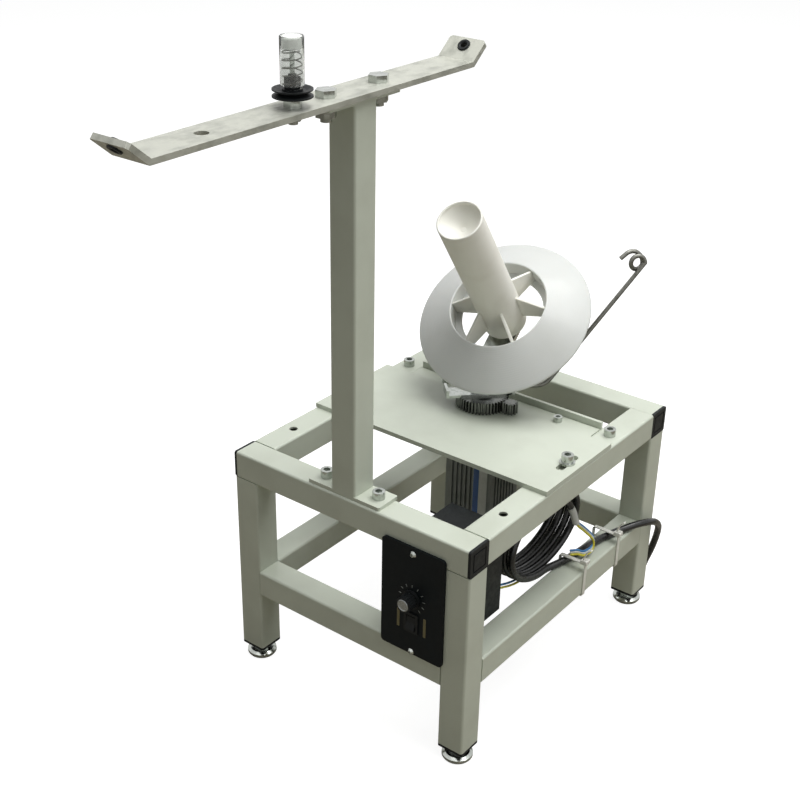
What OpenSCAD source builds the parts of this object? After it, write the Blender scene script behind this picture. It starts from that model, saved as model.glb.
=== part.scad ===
// Motorised yarn ball winder: a tube frame, a tilted bobbin and a turning guide arm.
// Millimetres, +Z up, origin on the floor at the middle of the four feet, front at -Y.

/* [Frame] */
// Width over the front rail's end caps
frame_w = 300; // [280:1:360]
// Depth over the front and rear rails
frame_d = 380; // [370:1:440]
// Height from the bottom of the legs to the top of the rails
frame_h = 244; // [220:1:300]
// Side of the square tube
tube = 30; // [26:1:34]
// Wall of the square tube
tube_wall = 2; // [1.5:0.1:3]
// Height of the lower rails' underside over the bottom of the legs
low_rail_h = 75; // [50:1:85]
// Thickness of the plastic end caps
cap_t = 3; // [2:0.5:4]

/* [Feet] */
// Height of the bottom of the legs over the floor
foot_h = 15; // [12:0.5:20]
// Diameter of a levelling foot
foot_dia = 32; // [26:1:36]
// Thickness of a levelling foot's disc
foot_t = 7; // [5:0.5:8]
// Diameter of a levelling foot's screw
foot_screw = 10; // [8:1:12]

/* [Plate] */
// Depth of the plate that carries the drive
plate_d = 127; // [122:1:140]
// Thickness of the plate
plate_t = 5; // [3:0.5:6]
// Place of the plate's back edge
plate_back = 66; // [64:1:72]
// Thickness of the upright strip behind the crossbar
lip_t = 4; // [3:0.5:5]
// Height that the upright strip stands over the plate
lip_rise = 2; // [1:0.5:5]
// Depth of the upright strip below the top of the rails
lip_drop = 20; // [10:1:24]

/* [Fasteners] */
// Diameter of the large socket screws
bolt = 8; // [6:0.5:9]
// Diameter of the small socket screws
small_bolt = 6; // [5:0.5:7]
// Diameter of the bar's hex bolts
bar_bolt = 10; // [8:0.5:12]
// Clearance of a screw in its hole, on the diameter
hole_play = 1; // [0.5:0.1:1.5]
// Length of the adjusting slots in the plate
slot_l = 36; // [28:1:44]

/* [Post and bar] */
// Side of the post's square tube
post = 30; // [26:1:30]
// Height of the post between its end plates
post_h = 385; // [300:5:450]
// Thickness of the post's end plates
post_plate_t = 4; // [3:0.5:6]
// Length of the post's base plate
post_plate_l = 90; // [84:1:110]
// Place of the post along the front rail
post_x = -5; // [-20:1:10]
// Width of the guide bar on the post
bar_w = 40; // [36:1:46]
// Thickness of the guide bar
bar_t = 5; // [4:0.5:6]
// Length of the guide bar's flat in front of the post
bar_front = 250; // [220:1:280]
// Length of the guide bar's flat behind the post
bar_back = 152; // [120:1:170]
// Length of the guide bar's bent ends
flap_l = 27; // [25:1:40]
// Upward angle of the guide bar's bent ends
flap_angle = 40; // [25:1:45]

/* [Drive] */
// Place of the main axis across the frame
axis_x = -7; // [-12:1:-4]
// Place of the main axis along the frame
axis_y = 54; // [52:1:56]
// Diameter of the fixed centre shaft
shaft = 14; // [12:0.5:16]
// Teeth of the flyer gear
gear_teeth = 45; // [40:1:46]
// Teeth of the pinion
pinion_teeth = 12; // [12:1:14]
// Module of the gear teeth
gear_module = 1.25; // [1.1:0.05:1.35]
// Height of the flyer gear
gear_h = 13; // [10:0.5:14]
// Diameter of the collar that clamps the flyer on its gear
collar_dia = 27; // [24:1:30]
// Height of the collar
collar_h = 8; // [6:0.5:8]
// Diameter of the motor's output shaft
motor_shaft = 8; // [6:0.5:9]
// Side of the square motor
motor = 60; // [54:1:60]
// Length of the motor's body
motor_l = 90; // [70:1:100]
// Length of the gear head on the motor
head_l = 34; // [25:1:45]

/* [Flyer] */
// Direction of the flyer from the main axis, in degrees
flyer_angle = 46; // [40:1:52]
// Width of the flyer's flat bar
flyer_w = 20; // [16:1:22]
// Thickness of the flyer's flat bar
flyer_t = 3; // [2:0.5:4]
// Reach of the flyer's flat bar
flyer_reach = 34; // [32:1:60]
// Reach of the flyer's upturned tail
flyer_tail = 42; // [38:1:46]
// Height of the flyer's upturned tail
flyer_tail_h = 9; // [6:0.5:10]
// Diameter of the flyer's wire
wire = 5; // [4:0.5:5.5]
// Radius of the wire's eye
eye_r = 9; // [7:0.5:11]

/* [Bobbin] */
// Tilt of the bobbin from upright
tilt = 37; // [34:0.5:39]
// Turn of the bobbin about the main axis, from the front
bobbin_turn = 5.3; // [0:0.1:8]
// Height over the plate where the bobbin's axis meets the main axis
crossing_h = 144; // [140:1:152]
// Radius of the bobbin's tube
core_r = 24; // [22:0.5:27]
// Wall of the bobbin's tube
core_wall = 2.4; // [2:0.1:3.5]
// Length of the bobbin's tube over the crossing
core_top = 112; // [105:1:120]
// Radius of the flange's rim
flange_r = 97; // [90:1:99]
// Radius of the flange's mouth
mouth_r = 53; // [48:1:58]
// Depth of the mouth's edge under the crossing
mouth_drop = 41; // [38:1:44]
// Depth of the flange's rim under the crossing
flange_drop = 68; // [66:0.5:70]
// Wall of the flange
flange_wall = 2.5; // [2:0.1:3]
// Number of fins between the tube and the flange
fins = 6; // [5:1:8]
// Diameter of the bobbin's spindle
spindle = 10; // [8:0.5:12]

/* [Tensioner] */
// Place of the tensioner in front of the post's middle
tension_y = 76; // [74:1:110]
// Diameter of the tension discs
disc_dia = 34; // [28:1:38]
// Diameter of the clear sleeve over the spring
sleeve_dia = 20; // [19:1:24]
// Length of the clear sleeve
sleeve_l = 40; // [36:1:50]

/* [Control] */
// Width of the control panel
panel_w = 75; // [70:1:80]
// Height of the control panel
panel_h = 124; // [120:1:130]
// Thickness of the control panel
panel_t = 3; // [2:0.5:4]
// Distance of the panel's middle from the front rail's right end
panel_in = 64; // [60:1:70]
// Depth of the control box behind the panel
box_d = 105; // [80:1:110]
// Diameter of the speed knob
knob_dia = 20; // [16:1:24]

/* [Lead] */
// Diameter of the mains lead
lead = 8; // [7:0.5:9]
// Half the length of the coiled lead's turns, along the rail
coil_ry = 68; // [60:1:70]
// Half the height of the coiled lead's turns
coil_rz = 44; // [38:1:46]
// Turns of the coiled lead
coil_turns = 4; // [3:1:4]

/* [Hidden] */
$fn = 64;

// Running clearance of a turning fit, on the radius
run = 0.05;
// Clearance between pieces that pass each other
gap = 0.3;
steel_pale = [0.80, 0.83, 0.78];
zinc = [0.75, 0.75, 0.72];
black = [0.06, 0.06, 0.07];
white = [0.93, 0.93, 0.91];

half_w = frame_w / 2;
half_d = frame_d / 2;
rail_top = foot_h + frame_h;
rail_low = rail_top - tube;
low_rail_z = foot_h + low_rail_h;
plate_top = rail_top + plate_t;
post_y = -half_d + tube / 2 + 2;
post_foot = rail_top + post_plate_t;
post_top = post_foot + post_h;
bar_z = post_top + post_plate_t;
bar_top = bar_z + bar_t;
// Distance of the screws in the post's base plate from its middle
post_screw = post_plate_l / 2 - 12;
// Distance of the bar's bolts from the post's middle
bar_screw = post / 2 + 20;
gear_bottom = plate_top + 1;
gear_top = gear_bottom + gear_h;
collar_z = gear_top + flyer_t;
collar_top = collar_z + collar_h;
gear_pitch = gear_teeth * gear_module / 2;
pinion_pitch = pinion_teeth * gear_module / 2;
// Extra distance between the two gear axes, which gives the teeth their play
gear_play = 0.3;
pinion_angle = 3;
pinion_x = axis_x + (gear_pitch + pinion_pitch + gear_play) * cos(pinion_angle);
pinion_y = axis_y + (gear_pitch + pinion_pitch + gear_play) * sin(pinion_angle);
motor_x = 10;
// Depth of the output shaft in the gear head
motor_shaft_in = 20;
motor_y = plate_back - motor / 2 - 1;
crossing_z = plate_top + crossing_h;
// Place of the spindle bracket along the bobbin's axis, its upper face
bracket_s = -84;
bracket_t = 6;
bracket_w = 30;
bobbin_floor = -flange_drop + 5;
panel_z = low_rail_z + tube - 5 + panel_h / 2;
panel_front = -half_d - panel_t;
panel_x = half_w - panel_in;
// Place of the control box's back
box_back = -half_d + box_d;
// Place where the wire guide bends up
wire_bend = [41.8, 104.3];
wire_eye = [95.8, 208.4, 410.6];
spare_hole_y = -half_d + 75;
slot_bolt_y = plate_back - plate_d / 2 - 1;
rail_bolt_y = plate_back + 23;
crossbar_y = plate_back + tube / 2;
crossbar_bolt_x = half_w / 2;
washer_t = 2;
// Depth of the groove in a cap's face
cap_groove = 0.8;
// Length of the crossbar's small screws under their heads
small_bolt_l = 12;
// Distance of an eyelet from the bar's end, and its sizes
eyelet_in = 9;
eyelet_dia = 9;
eyelet_rim = 6.5;
eyelet_bore = 3;
// How far an eyelet's rims stand out from the middle of the bar's thickness
eyelet_half = 4;
// Radius of the bar's corners
tip_r = 5;
// How far a corner's circle stands past the bar's edges
tip_past = 0.4;
spare_bar_dia = 12;
// Room beyond the bar's bolts on the post's head plate
head_margin = 26;
spare_bar_hole = 179;
tension_screw = 8;
tension_nut_h = 6.5;
disc_z = tension_nut_h + 1.5;
disc_h = 3.2;
disc_t = 1.5;
tension_collar_z = disc_z + 2 * disc_h + gap;
tension_collar_h = 12;
sleeve_z = tension_collar_z + 2;
// Height of the sleeve's open end over the place that its length counts from
sleeve_lift = 0.6;
// Foot of the square block, which the spring stands on
block_foot = 1.5;
block_foot_dia = 17;
block = 10;
// Thickness of the sleeve's closed end
sleeve_cap = 10;
// Thin rod on top of the stud, which the sleeve slides on
rod = 4;
stud_top = sleeve_z + sleeve_l - sleeve_cap + 1;
// Compression spring between the block and the sleeve's cap
spring_base = disc_z + disc_h + gap + disc_t + block_foot;
spring_top = sleeve_z + sleeve_l - sleeve_cap - 0.6;
spring_turns = 5;
spring_wire = 1;
shaft_top = crossing_z + bracket_s / cos(tilt);
// Length of the wire guide that lies on the flyer's bar
wire_lap = 14;
bush_dia = 18;
web_t = 12;
web_top = core_top - 34;
// Depth of the recess in the tube's end, down to the floor's underside, and the floor
recess = 18;
recess_floor = 2;
// Lower end of the tube, under the flange's lip
tube_low = bobbin_floor - 12;
// Height of the fins on the tube over the flange's mouth
fin_rise = 14;
fin_t = 3;
// Turn of the first fin
fin_phase = 12;
// Width of the lip that the fins stand on
fin_lip = 7;
knob_dz = 4;
rocker_dz = -24;
rocker_w = 13;
rocker_h = 19;
// Room around the rocker inside its frame
rocker_room = 1.6;
// Pin of the rocker, and its depth behind the panel's face
rocker_pin = 2.4;
rocker_pin_in = 2;
// Height of the lead where it lies on the lower rail
lead_z = low_rail_z + tube + lead / 2 + 0.4;
// Place where the lead leaves the control box
lead_exit = [panel_x - 6, box_back, lead_z + 10.6];
// Length of the tapered sleeve that the lead leaves by
gland_l = 24;
// Place of the coil's first turn
coil_x = panel_x - 3;
coil_y = box_back + 90;
coil_pitch = lead + 0.8;
// Routes of the lead before and after its coil, chosen by hand
lead_in = [
    lead_exit,
    lead_exit + [0, gland_l + 2, 0],
    [panel_x - 5.7, box_back + 45, lead_z + 6.1],
    [panel_x - 5, box_back + 63, lead_z + 2.2],
    [panel_x - 3.7, box_back + 77, lead_z + 0.4]
];
lead_out = [
    [half_w - 28.5, coil_y + 13, lead_z],
    [half_w - 25, coil_y + 27, lead_z],
    [half_w - 22.5, coil_y + 45, lead_z],
    [half_w - 20, coil_y + 65, lead_z],
    [half_w - 17, coil_y + 85, lead_z],
    [half_w - 12, half_d - 80, lead_z],
    [half_w - 5, half_d - 62, lead_z + 1.1],
    [half_w + 2, half_d - 48, lead_z + 2.1],
    [half_w + 8, half_d - 33, lead_z + 0.6],
    [half_w + 10, half_d - 16, lead_z - 6.4],
    [half_w + 8, half_d, lead_z - 20.4],
    [half_w + 3, half_d + 9, lead_z - 40.4],
    [half_w - 3, half_d + 13, lead_z / 2],
    [half_w - 10, half_d + 16, lead_z / 3],
    [half_w - 17, half_d + 21, 22],
    [half_w - 25, half_d + 30, 14],
    [half_w - 33, half_d + 42, 13]
];
plug_r = 13;
plug_at = [half_w - 33, half_d + 42, plug_r];
plug_turn = 34;
tie_w = 5;
tie_t = 1.2;
// Places of the two ties along the rail
tie_y = [coil_y + 28, half_d - 85];

// Square tube along Z from the origin, its corners rounded
module square_tube(side, length, wall) {
    linear_extrude(length) difference() {
        rounded_square(side, 2.5);
        rounded_square(side - 2 * wall, 1);
    }
}

// Square with round corners, centred
module rounded_square(side, r) {
    rounded_rect(side, side, r);
}

// Rectangle with round corners, centred
module rounded_rect(w, h, r) {
    square([w - 2 * r, h], center = true);
    square([w, h - 2 * r], center = true);
    for (x = [-1, 1], y = [-1, 1]) translate([x * (w / 2 - r), y * (h / 2 - r)]) circle(r);
}

// Tube along X from x0 to x1, with its middle at y and z
module tube_x(x0, x1, y, z) {
    translate([x0, y, z]) rotate([90, 0, 90]) square_tube(tube, x1 - x0, tube_wall);
}

// Tube along Y from y0 to y1, with its middle at x and z
module tube_y(y0, y1, x, z) {
    translate([x, y1, z]) rotate([90, 0, 0]) square_tube(tube, y1 - y0, tube_wall);
}

// Socket head screw with its head standing on z = 0 and its shank below
module socket_screw(d, length) {
    difference() {
        union() {
            cylinder(d = 1.6 * d, h = d);
            translate([0, 0, -length]) cylinder(d = d, h = length);
        }
        translate([0, 0, d * 0.45]) cylinder(d = 0.95 * d, h = d, $fn = 6);
    }
}

// Washer standing on z = 0
module washer(d, thick) {
    difference() {
        cylinder(d = 2.1 * d, h = thick);
        translate([0, 0, -1]) cylinder(d = d + 0.4, h = thick + 2);
    }
}

// Hexagon nut standing on z = 0, round a screw of diameter d
module hex_nut(d) {
    difference() {
        cylinder(d = 1.9 * d, h = 0.8 * d, $fn = 6);
        translate([0, 0, -1]) cylinder(d = d, h = d + 2);
    }
}

// Hexagon bolt with its head standing on z = 0 and its shank below
module hex_bolt(d, length) {
    cylinder(d = 1.9 * d, h = 0.65 * d, $fn = 6);
    translate([0, 0, -length]) cylinder(d = d, h = length);
}

// Point of an involute from a base circle, at a roll angle in degrees
function involute(base, roll) =
    base * [cos(roll) + roll * PI / 180 * sin(roll), sin(roll) - roll * PI / 180 * cos(roll)];
function turned(p, a) = [p[0] * cos(a) - p[1] * sin(a), p[0] * sin(a) + p[1] * cos(a)];
function flipped(p) = [p[0], -p[1]];

// Outline of a spur gear with involute teeth, thinned for play, one tooth on the X axis
module gear_outline(teeth) {
    pitch = teeth * gear_module / 2;
    base = pitch * cos(20);
    tip = pitch + 0.9 * gear_module;
    root = pitch - 1.2 * gear_module;
    steps = 4;
    roll_tip = sqrt(pow(tip / base, 2) - 1) * 180 / PI;
    roll_pitch = tan(20) * 180 / PI;
    half_tooth = 90 / teeth * 0.86 + roll_pitch - 20;
    flank = [for (i = [0:steps]) turned(involute(base, roll_tip * i / steps), -half_tooth)];
    foot = root < base ? [turned([root, 0], -half_tooth)] : [];
    low = concat(foot, flank);
    tooth = concat(low, [for (i = [len(low) - 1:-1:0]) flipped(low[i])]);
    polygon([for (t = [0:teeth - 1], p = tooth) turned(p, 360 * t / teeth)]);
}

// Unit vector, and a pair of unit vectors across it
function unit(v) = v / norm(v);
function across(v) = unit(abs(v[2]) < 0.9 * norm(v) ? cross(v, [0, 0, 1]) : cross(v, [1, 0, 0]));
// The first side vector carried along a path from ring to ring, so that the tube has no twist
function carried(u, t) = unit(u - (u * t) * t);
function tangents(p) = [for (i = [0:len(p) - 1]) unit(p[min(i + 1, len(p) - 1)] - p[max(i - 1, 0)])];
function sides_along(t) =
    [for (i = 0, u = across(t[0]); i < len(t); i = i + 1, u = i < len(t) ? carried(u, t[i]) : u) u];

// Solid round rod swept along points, with triangle faces
module swept_rod(points, r, sides) {
    t = tangents(points);
    u = sides_along(t);
    n = len(points);
    rings = [for (i = [0:n - 1], k = [0:sides - 1])
        points[i] + r * (cos(360 * k / sides) * u[i] + sin(360 * k / sides) * cross(t[i], u[i]))];
    walls = [for (i = [0:n - 2], k = [0:sides - 1]) let (a = i * sides + k, b = i * sides + (k + 1) % sides)
        each [[a, a + sides, b], [b, a + sides, b + sides]]];
    last = (n - 1) * sides;
    ends = [for (k = [1:sides - 2]) each [[0, k, k + 1], [last, last + k + 1, last + k]]];
    polyhedron(rings, concat(walls, ends), convexity = 8);
}

// Moves children to the main axis
module at_axis() {
    translate([axis_x, axis_y, 0]) children();
}

// Moves children to the bobbin's axis: Z along it, origin at the crossing
module at_bobbin() {
    translate([axis_x, axis_y, crossing_z]) rotate([0, 0, bobbin_turn]) rotate([tilt, 0, 0]) children();
}

module front_rail() {
    color(steel_pale) difference() {
        tube_x(-half_w + cap_t, half_w - cap_t, -half_d + tube / 2, rail_top - tube / 2);
        for (s = [-1, 1]) translate([post_x + s * post_screw, post_y, rail_low - 1])
            cylinder(d = bolt + hole_play, h = tube + 2);
        translate([panel_x, -half_d - 1, panel_z + panel_h / 2 - 7]) rotate([-90, 0, 0])
            cylinder(d = 4, h = tube_wall + 2);
    }
}

module rear_rail() {
    color(steel_pale) tube_x(-half_w + cap_t, half_w - cap_t, half_d - tube / 2, rail_top - tube / 2);
}

// Upper side rail; side is -1 for the left and 1 for the right
module side_rail(side) {
    x = side * (half_w - tube / 2);
    color(steel_pale) difference() {
        tube_y(-half_d + tube, half_d - tube, x, rail_top - tube / 2);
        for (y = [spare_hole_y, slot_bolt_y, rail_bolt_y])
            translate([x, y, rail_low + tube_wall + 1])
                cylinder(d = bolt + (y == spare_hole_y ? hole_play : 0), h = tube);
    }
}

// Leg at the corner given by the signs of x and y
module leg(sx, sy) {
    color(steel_pale) translate([sx * (half_w - tube / 2), sy * (half_d - tube / 2), foot_h + cap_t])
        square_tube(tube, rail_low - foot_h - cap_t, tube_wall);
}

module lower_rail_front() {
    color(steel_pale) difference() {
        tube_x(-half_w + tube, half_w - tube, -half_d + tube / 2, low_rail_z + tube / 2);
        translate([panel_x, -half_d - 1, panel_z - panel_h / 2 + 2.5]) rotate([-90, 0, 0])
            cylinder(d = 4, h = tube_wall + 2);
    }
}

module lower_rail_rear() {
    color(steel_pale) tube_x(-half_w + tube, half_w - tube, half_d - tube / 2, low_rail_z + tube / 2);
}

// Lower side rail; side is -1 for the left and 1 for the right
module lower_rail_side(side) {
    color(steel_pale)
        tube_y(-half_d + tube, half_d - tube, side * (half_w - tube / 2), low_rail_z + tube / 2);
}

// Plug with a flat head of the tube's size on z = 0 and a stub that goes up into the tube
module tube_cap() {
    difference() {
        translate([0, 0, -cap_t]) linear_extrude(cap_t) rounded_square(tube, 2.5);
        translate([0, 0, -cap_t - 1]) linear_extrude(cap_groove + 1) difference() {
            rounded_square(tube - 9, 1.5);
            rounded_square(tube - 12, 1);
        }
    }
    linear_extrude(8) rounded_square(tube - 2 * tube_wall - 0.6, 1);
}

// Caps in the rails' ends and under the legs; those under the legs let the feet's screws through
module tube_end_caps() {
    color(black) for (sx = [-1, 1], sy = [-1, 1]) {
        translate([sx * (half_w - cap_t), sy * (half_d - tube / 2), rail_top - tube / 2])
            rotate([0, -sx * 90, 0]) tube_cap();
        translate([sx * (half_w - tube / 2), sy * (half_d - tube / 2), foot_h + cap_t]) difference() {
            tube_cap();
            translate([0, 0, -cap_t - 1]) cylinder(d = foot_screw + 0.2, h = cap_t + 12);
        }
    }
}

module levelling_feet() {
    color(zinc) for (sx = [-1, 1], sy = [-1, 1])
        translate([sx * (half_w - tube / 2), sy * (half_d - tube / 2), 0]) {
        cylinder(d1 = foot_dia - 3, d2 = foot_dia, h = 2);
        translate([0, 0, 2]) cylinder(d = foot_dia, h = foot_t - 4);
        translate([0, 0, foot_t - 2]) cylinder(d1 = foot_dia, d2 = foot_dia - 6, h = 2);
        translate([0, 0, foot_t]) cylinder(d = 1.7 * foot_screw, h = foot_h - foot_t, $fn = 6);
        translate([0, 0, foot_h - 1]) cylinder(d = foot_screw, h = 14);
    }
}

module drive_plate() {
    color(steel_pale) difference() {
        translate([-half_w, plate_back - plate_d, rail_top]) cube([frame_w, plate_d, plate_t]);
        for (s = [-1, 1]) translate([s * (half_w - tube / 2), slot_bolt_y, rail_top - 1])
            linear_extrude(plate_t + 2) {
            for (e = [-1, 1]) translate([0, e * (slot_l - bolt - hole_play) / 2])
                circle(d = bolt + hole_play);
            square([bolt + hole_play, slot_l - bolt - hole_play], center = true);
        }
        at_axis() translate([0, 0, rail_top - 1]) cylinder(d = shaft, h = plate_t + 2);
        translate([pinion_x, pinion_y, rail_top - 1]) cylinder(d = motor_shaft + 2, h = plate_t + 2);
    }
}

module rear_crossbar() {
    color(steel_pale) difference() {
        tube_x(-half_w + tube, half_w - tube, crossbar_y, rail_top - tube / 2);
        for (s = [-1, 1]) translate([s * crossbar_bolt_x, crossbar_y, rail_top - tube_wall - 1])
            cylinder(d = small_bolt, h = tube_wall + 2);
    }
}

module crossbar_strip() {
    color(steel_pale) translate([-half_w + tube, crossbar_y + tube / 2, rail_top - lip_drop])
        cube([frame_w - 2 * tube, lip_t, lip_drop + plate_t + lip_rise]);
}

// Socket screws in the side rails; those in the plate's slots stand on washers
module rail_bolts() {
    color(zinc) for (s = [-1, 1]) translate([s * (half_w - tube / 2), 0, 0]) {
        translate([0, slot_bolt_y, plate_top + washer_t])
            socket_screw(bolt, plate_t + washer_t + tube - tube_wall - 2);
        translate([0, slot_bolt_y, plate_top]) washer(bolt, washer_t);
        translate([0, rail_bolt_y, rail_top]) socket_screw(bolt, tube - tube_wall - 2);
    }
}

module crossbar_bolts() {
    color(zinc) for (s = [-1, 1]) translate([s * crossbar_bolt_x, crossbar_y, rail_top])
        socket_screw(small_bolt, small_bolt_l);
}

module post() {
    color(steel_pale) translate([post_x, post_y, post_foot]) square_tube(post, post_h, tube_wall);
}

// End plate of the post: length along one direction, with two holes
module end_plate(length, screw, along_x, size) {
    rotate([0, 0, along_x ? 0 : 90]) linear_extrude(post_plate_t) difference() {
        rounded_rect(length, post, 2);
        for (s = [-1, 1]) translate([s * screw, 0]) circle(d = size + hole_play);
    }
}

module post_base() {
    color(steel_pale) translate([post_x, post_y, rail_top]) end_plate(post_plate_l, post_screw, true, bolt);
}

module post_base_bolts() {
    color(zinc) for (s = [-1, 1]) translate([post_x + s * post_screw, post_y, post_foot])
        socket_screw(bolt, post_plate_t + tube + bolt);
}

module post_head() {
    color(steel_pale) translate([post_x, post_y, post_top])
        end_plate(2 * bar_screw + head_margin, bar_screw, false, bar_bolt);
}

// Side profile of the guide bar, y along the bar and z up from its underside, with both ends bent up
module bar_profile() {
    c = cos(flap_angle);
    n = sin(flap_angle);
    miter = bar_t * tan(flap_angle / 2);
    polygon([
        [-bar_front - flap_l * c, flap_l * n],
        [-bar_front, 0],
        [bar_back, 0],
        [bar_back + flap_l * c, flap_l * n],
        [bar_back + flap_l * c - bar_t * n, flap_l * n + bar_t * c],
        [bar_back - miter, bar_t],
        [miter - bar_front, bar_t],
        [bar_t * n - bar_front - flap_l * c, flap_l * n + bar_t * c]
    ]);
}

// Hole for an eyelet, in the place of a bent end
module flap_hole() {
    rotate([flap_angle, 0, 0]) translate([0, flap_l - eyelet_in, -1]) cylinder(d = eyelet_dia, h = bar_t + 2);
}

// Cutter that rounds one corner of a bent end
module tip_corner(side) {
    in = tip_r - tip_past;
    rotate([flap_angle, 0, 0]) translate([side * (bar_w / 2 - in), flap_l - in, -1])
        linear_extrude(bar_t + 2) difference() {
            translate([side > 0 ? 0 : -tip_r - 1, 0]) square(tip_r + 1);
            circle(r = tip_r);
        }
}

// Moves children to a bent end: end is -1 for the front and 1 for the back
module at_flap(end) {
    translate([post_x, post_y, bar_z]) rotate([0, 0, end < 0 ? 180 : 0])
        translate([0, end < 0 ? bar_front : bar_back, 0]) children();
}

module guide_bar() {
    color(zinc) difference() {
        translate([post_x - bar_w / 2, post_y, bar_z]) rotate([90, 0, 90]) linear_extrude(bar_w) bar_profile();
        for (e = [-1, 1]) at_flap(e) {
            flap_hole();
            for (side = [-1, 1]) tip_corner(side);
        }
        for (s = [-1, 1]) translate([post_x, post_y + s * bar_screw, bar_z - 1])
            cylinder(d = bar_bolt + hole_play, h = bar_t + 2);
        translate([post_x, post_y - tension_y, bar_z - 1]) cylinder(d = tension_screw, h = bar_t + 2);
        translate([post_x, post_y - spare_bar_hole, bar_z - 1]) cylinder(d = spare_bar_dia, h = bar_t + 2);
    }
}

module bar_bolts() {
    color(zinc) for (s = [-1, 1]) translate([post_x, post_y + s * bar_screw, bar_top])
        hex_bolt(bar_bolt, bar_t + post_plate_t + 1.2 * bar_bolt);
}

// Nuts under the front rail and under the post's head
module post_nuts() {
    color(zinc) for (s = [-1, 1]) {
        translate([post_x + s * post_screw, post_y, rail_low - 0.8 * bolt]) hex_nut(bolt);
        translate([post_x, post_y + s * bar_screw, post_top - 0.8 * bar_bolt]) hex_nut(bar_bolt);
    }
}

// Grommet through a bent end, with a lip on both faces
module bar_eyelets() {
    half = bar_t / 2;
    color(black) for (e = [-1, 1]) at_flap(e) rotate([flap_angle, 0, 0])
        translate([0, flap_l - eyelet_in, half]) rotate_extrude() polygon([
            [eyelet_bore, -eyelet_half + 1], [eyelet_bore + 1, -eyelet_half], [eyelet_rim - 0.7, -eyelet_half],
            [eyelet_rim, -half], [eyelet_dia / 2, -half], [eyelet_dia / 2, half], [eyelet_rim, half],
            [eyelet_rim - 0.7, eyelet_half], [eyelet_bore + 1, eyelet_half], [eyelet_bore, eyelet_half - 1]]);
}

// Moves children to the tensioner's axis on the bar
module at_tension() {
    translate([post_x, post_y - tension_y, bar_top]) children();
}

module tension_stud() {
    color(zinc) at_tension() {
        translate([0, 0, -bar_t - 1.2 * tension_screw])
            cylinder(d = tension_screw, h = bar_t + 1.2 * tension_screw + disc_z);
        translate([0, 0, disc_z - 1]) cylinder(d = rod, h = stud_top - disc_z + 1);
        translate([0, 0, -bar_t - 0.8 * tension_screw])
            cylinder(d = 1.9 * tension_screw, h = 0.8 * tension_screw, $fn = 6);
    }
}

module tension_nut() {
    color(zinc) at_tension() difference() {
        union() {
            cylinder(d = 16, h = tension_nut_h, $fn = 6);
            translate([0, 0, tension_nut_h]) cylinder(d = 13, h = disc_z + disc_h - disc_t - tension_nut_h);
        }
        translate([0, 0, -1]) cylinder(d = tension_screw, h = disc_z + disc_h);
    }
}

// Dished tension disc: flat in the middle, its rim turned up, standing on z = 0
module tension_disc() {
    r = disc_dia / 2;
    rotate_extrude() polygon([
        [rod / 2 + run, 0], [r - 5, 0], [r, disc_h - 1], [r, disc_h],
        [r - 1.5, disc_h], [r - 5.6, disc_t], [rod / 2 + run, disc_t]]);
}

module tension_disc_lower() {
    color(black) at_tension() translate([0, 0, disc_z + disc_h]) mirror([0, 0, 1]) tension_disc();
}

module tension_disc_upper() {
    color(black) at_tension() translate([0, 0, disc_z + disc_h + gap]) tension_disc();
}

// Square block that presses on the upper disc
module tension_collar() {
    color(black) at_tension() translate([0, 0, disc_z + disc_h + gap + disc_t]) difference() {
        union() {
            linear_extrude(tension_collar_h) rounded_square(block, 1);
            cylinder(d = block_foot_dia, h = block_foot);
            translate([0, 0, tension_collar_h]) cylinder(d = 7, h = 2);
        }
        translate([0, 0, -1]) cylinder(d = rod, h = tension_collar_h + 4);
    }
}

module tension_spring() {
    steps = 12;
    r = sleeve_dia / 2 - 2;
    low = spring_base + spring_wire / 2 + 0.3;
    rise = spring_top - spring_wire / 2 - low;
    echo(spring_gap = rise / spring_turns - spring_wire);
    color(zinc) at_tension() swept_rod([for (i = [0:spring_turns * steps])
        [r * cos(360 * i / steps), r * sin(360 * i / steps), low + rise * i / spring_turns / steps]],
        spring_wire / 2, 6);
}

module tension_sleeve() {
    color(white) at_tension() translate([0, 0, sleeve_z + sleeve_lift]) difference() {
        cylinder(d = sleeve_dia, h = sleeve_l - sleeve_lift);
        translate([0, 0, -1]) cylinder(d = sleeve_dia - 2.4, h = sleeve_l - sleeve_lift - sleeve_cap + 1);
        translate([0, 0, -1]) cylinder(d = rod + 2 * run, h = sleeve_l - sleeve_lift - 2);
    }
}

module centre_shaft() {
    color(zinc) at_axis() translate([0, 0, rail_top]) cylinder(d = shaft, h = shaft_top - rail_top);
}

module thrust_washer() {
    color(zinc) at_axis() translate([0, 0, plate_top]) difference() {
        cylinder(d = 2 * shaft, h = gear_bottom - plate_top - run);
        translate([0, 0, -1]) cylinder(d = shaft, h = 3);
    }
}

module flyer_gear() {
    color(black) at_axis() translate([0, 0, gear_bottom]) difference() {
        linear_extrude(gear_h) rotate([0, 0, pinion_angle]) gear_outline(gear_teeth);
        translate([0, 0, -1]) cylinder(r = shaft / 2 + run, h = gear_h + 2);
    }
}

module flyer_bar() {
    color(zinc) at_axis() rotate([0, 0, flyer_angle]) translate([0, 0, gear_top]) difference() {
        union() {
            translate([-flyer_tail, -flyer_w / 2, 0]) cube([flyer_tail + flyer_reach, flyer_w, flyer_t]);
            translate([-flyer_tail, -flyer_w / 2, 0]) cube([flyer_t, flyer_w, flyer_tail_h]);
        }
        translate([0, 0, -1]) cylinder(r = shaft / 2 + run, h = flyer_t + 2);
    }
}

module flyer_collar() {
    color(zinc) at_axis() translate([0, 0, collar_z]) difference() {
        cylinder(d = collar_dia, h = collar_h);
        translate([0, 0, -1]) cylinder(r = shaft / 2 + run, h = collar_h + 2);
    }
}

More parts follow.
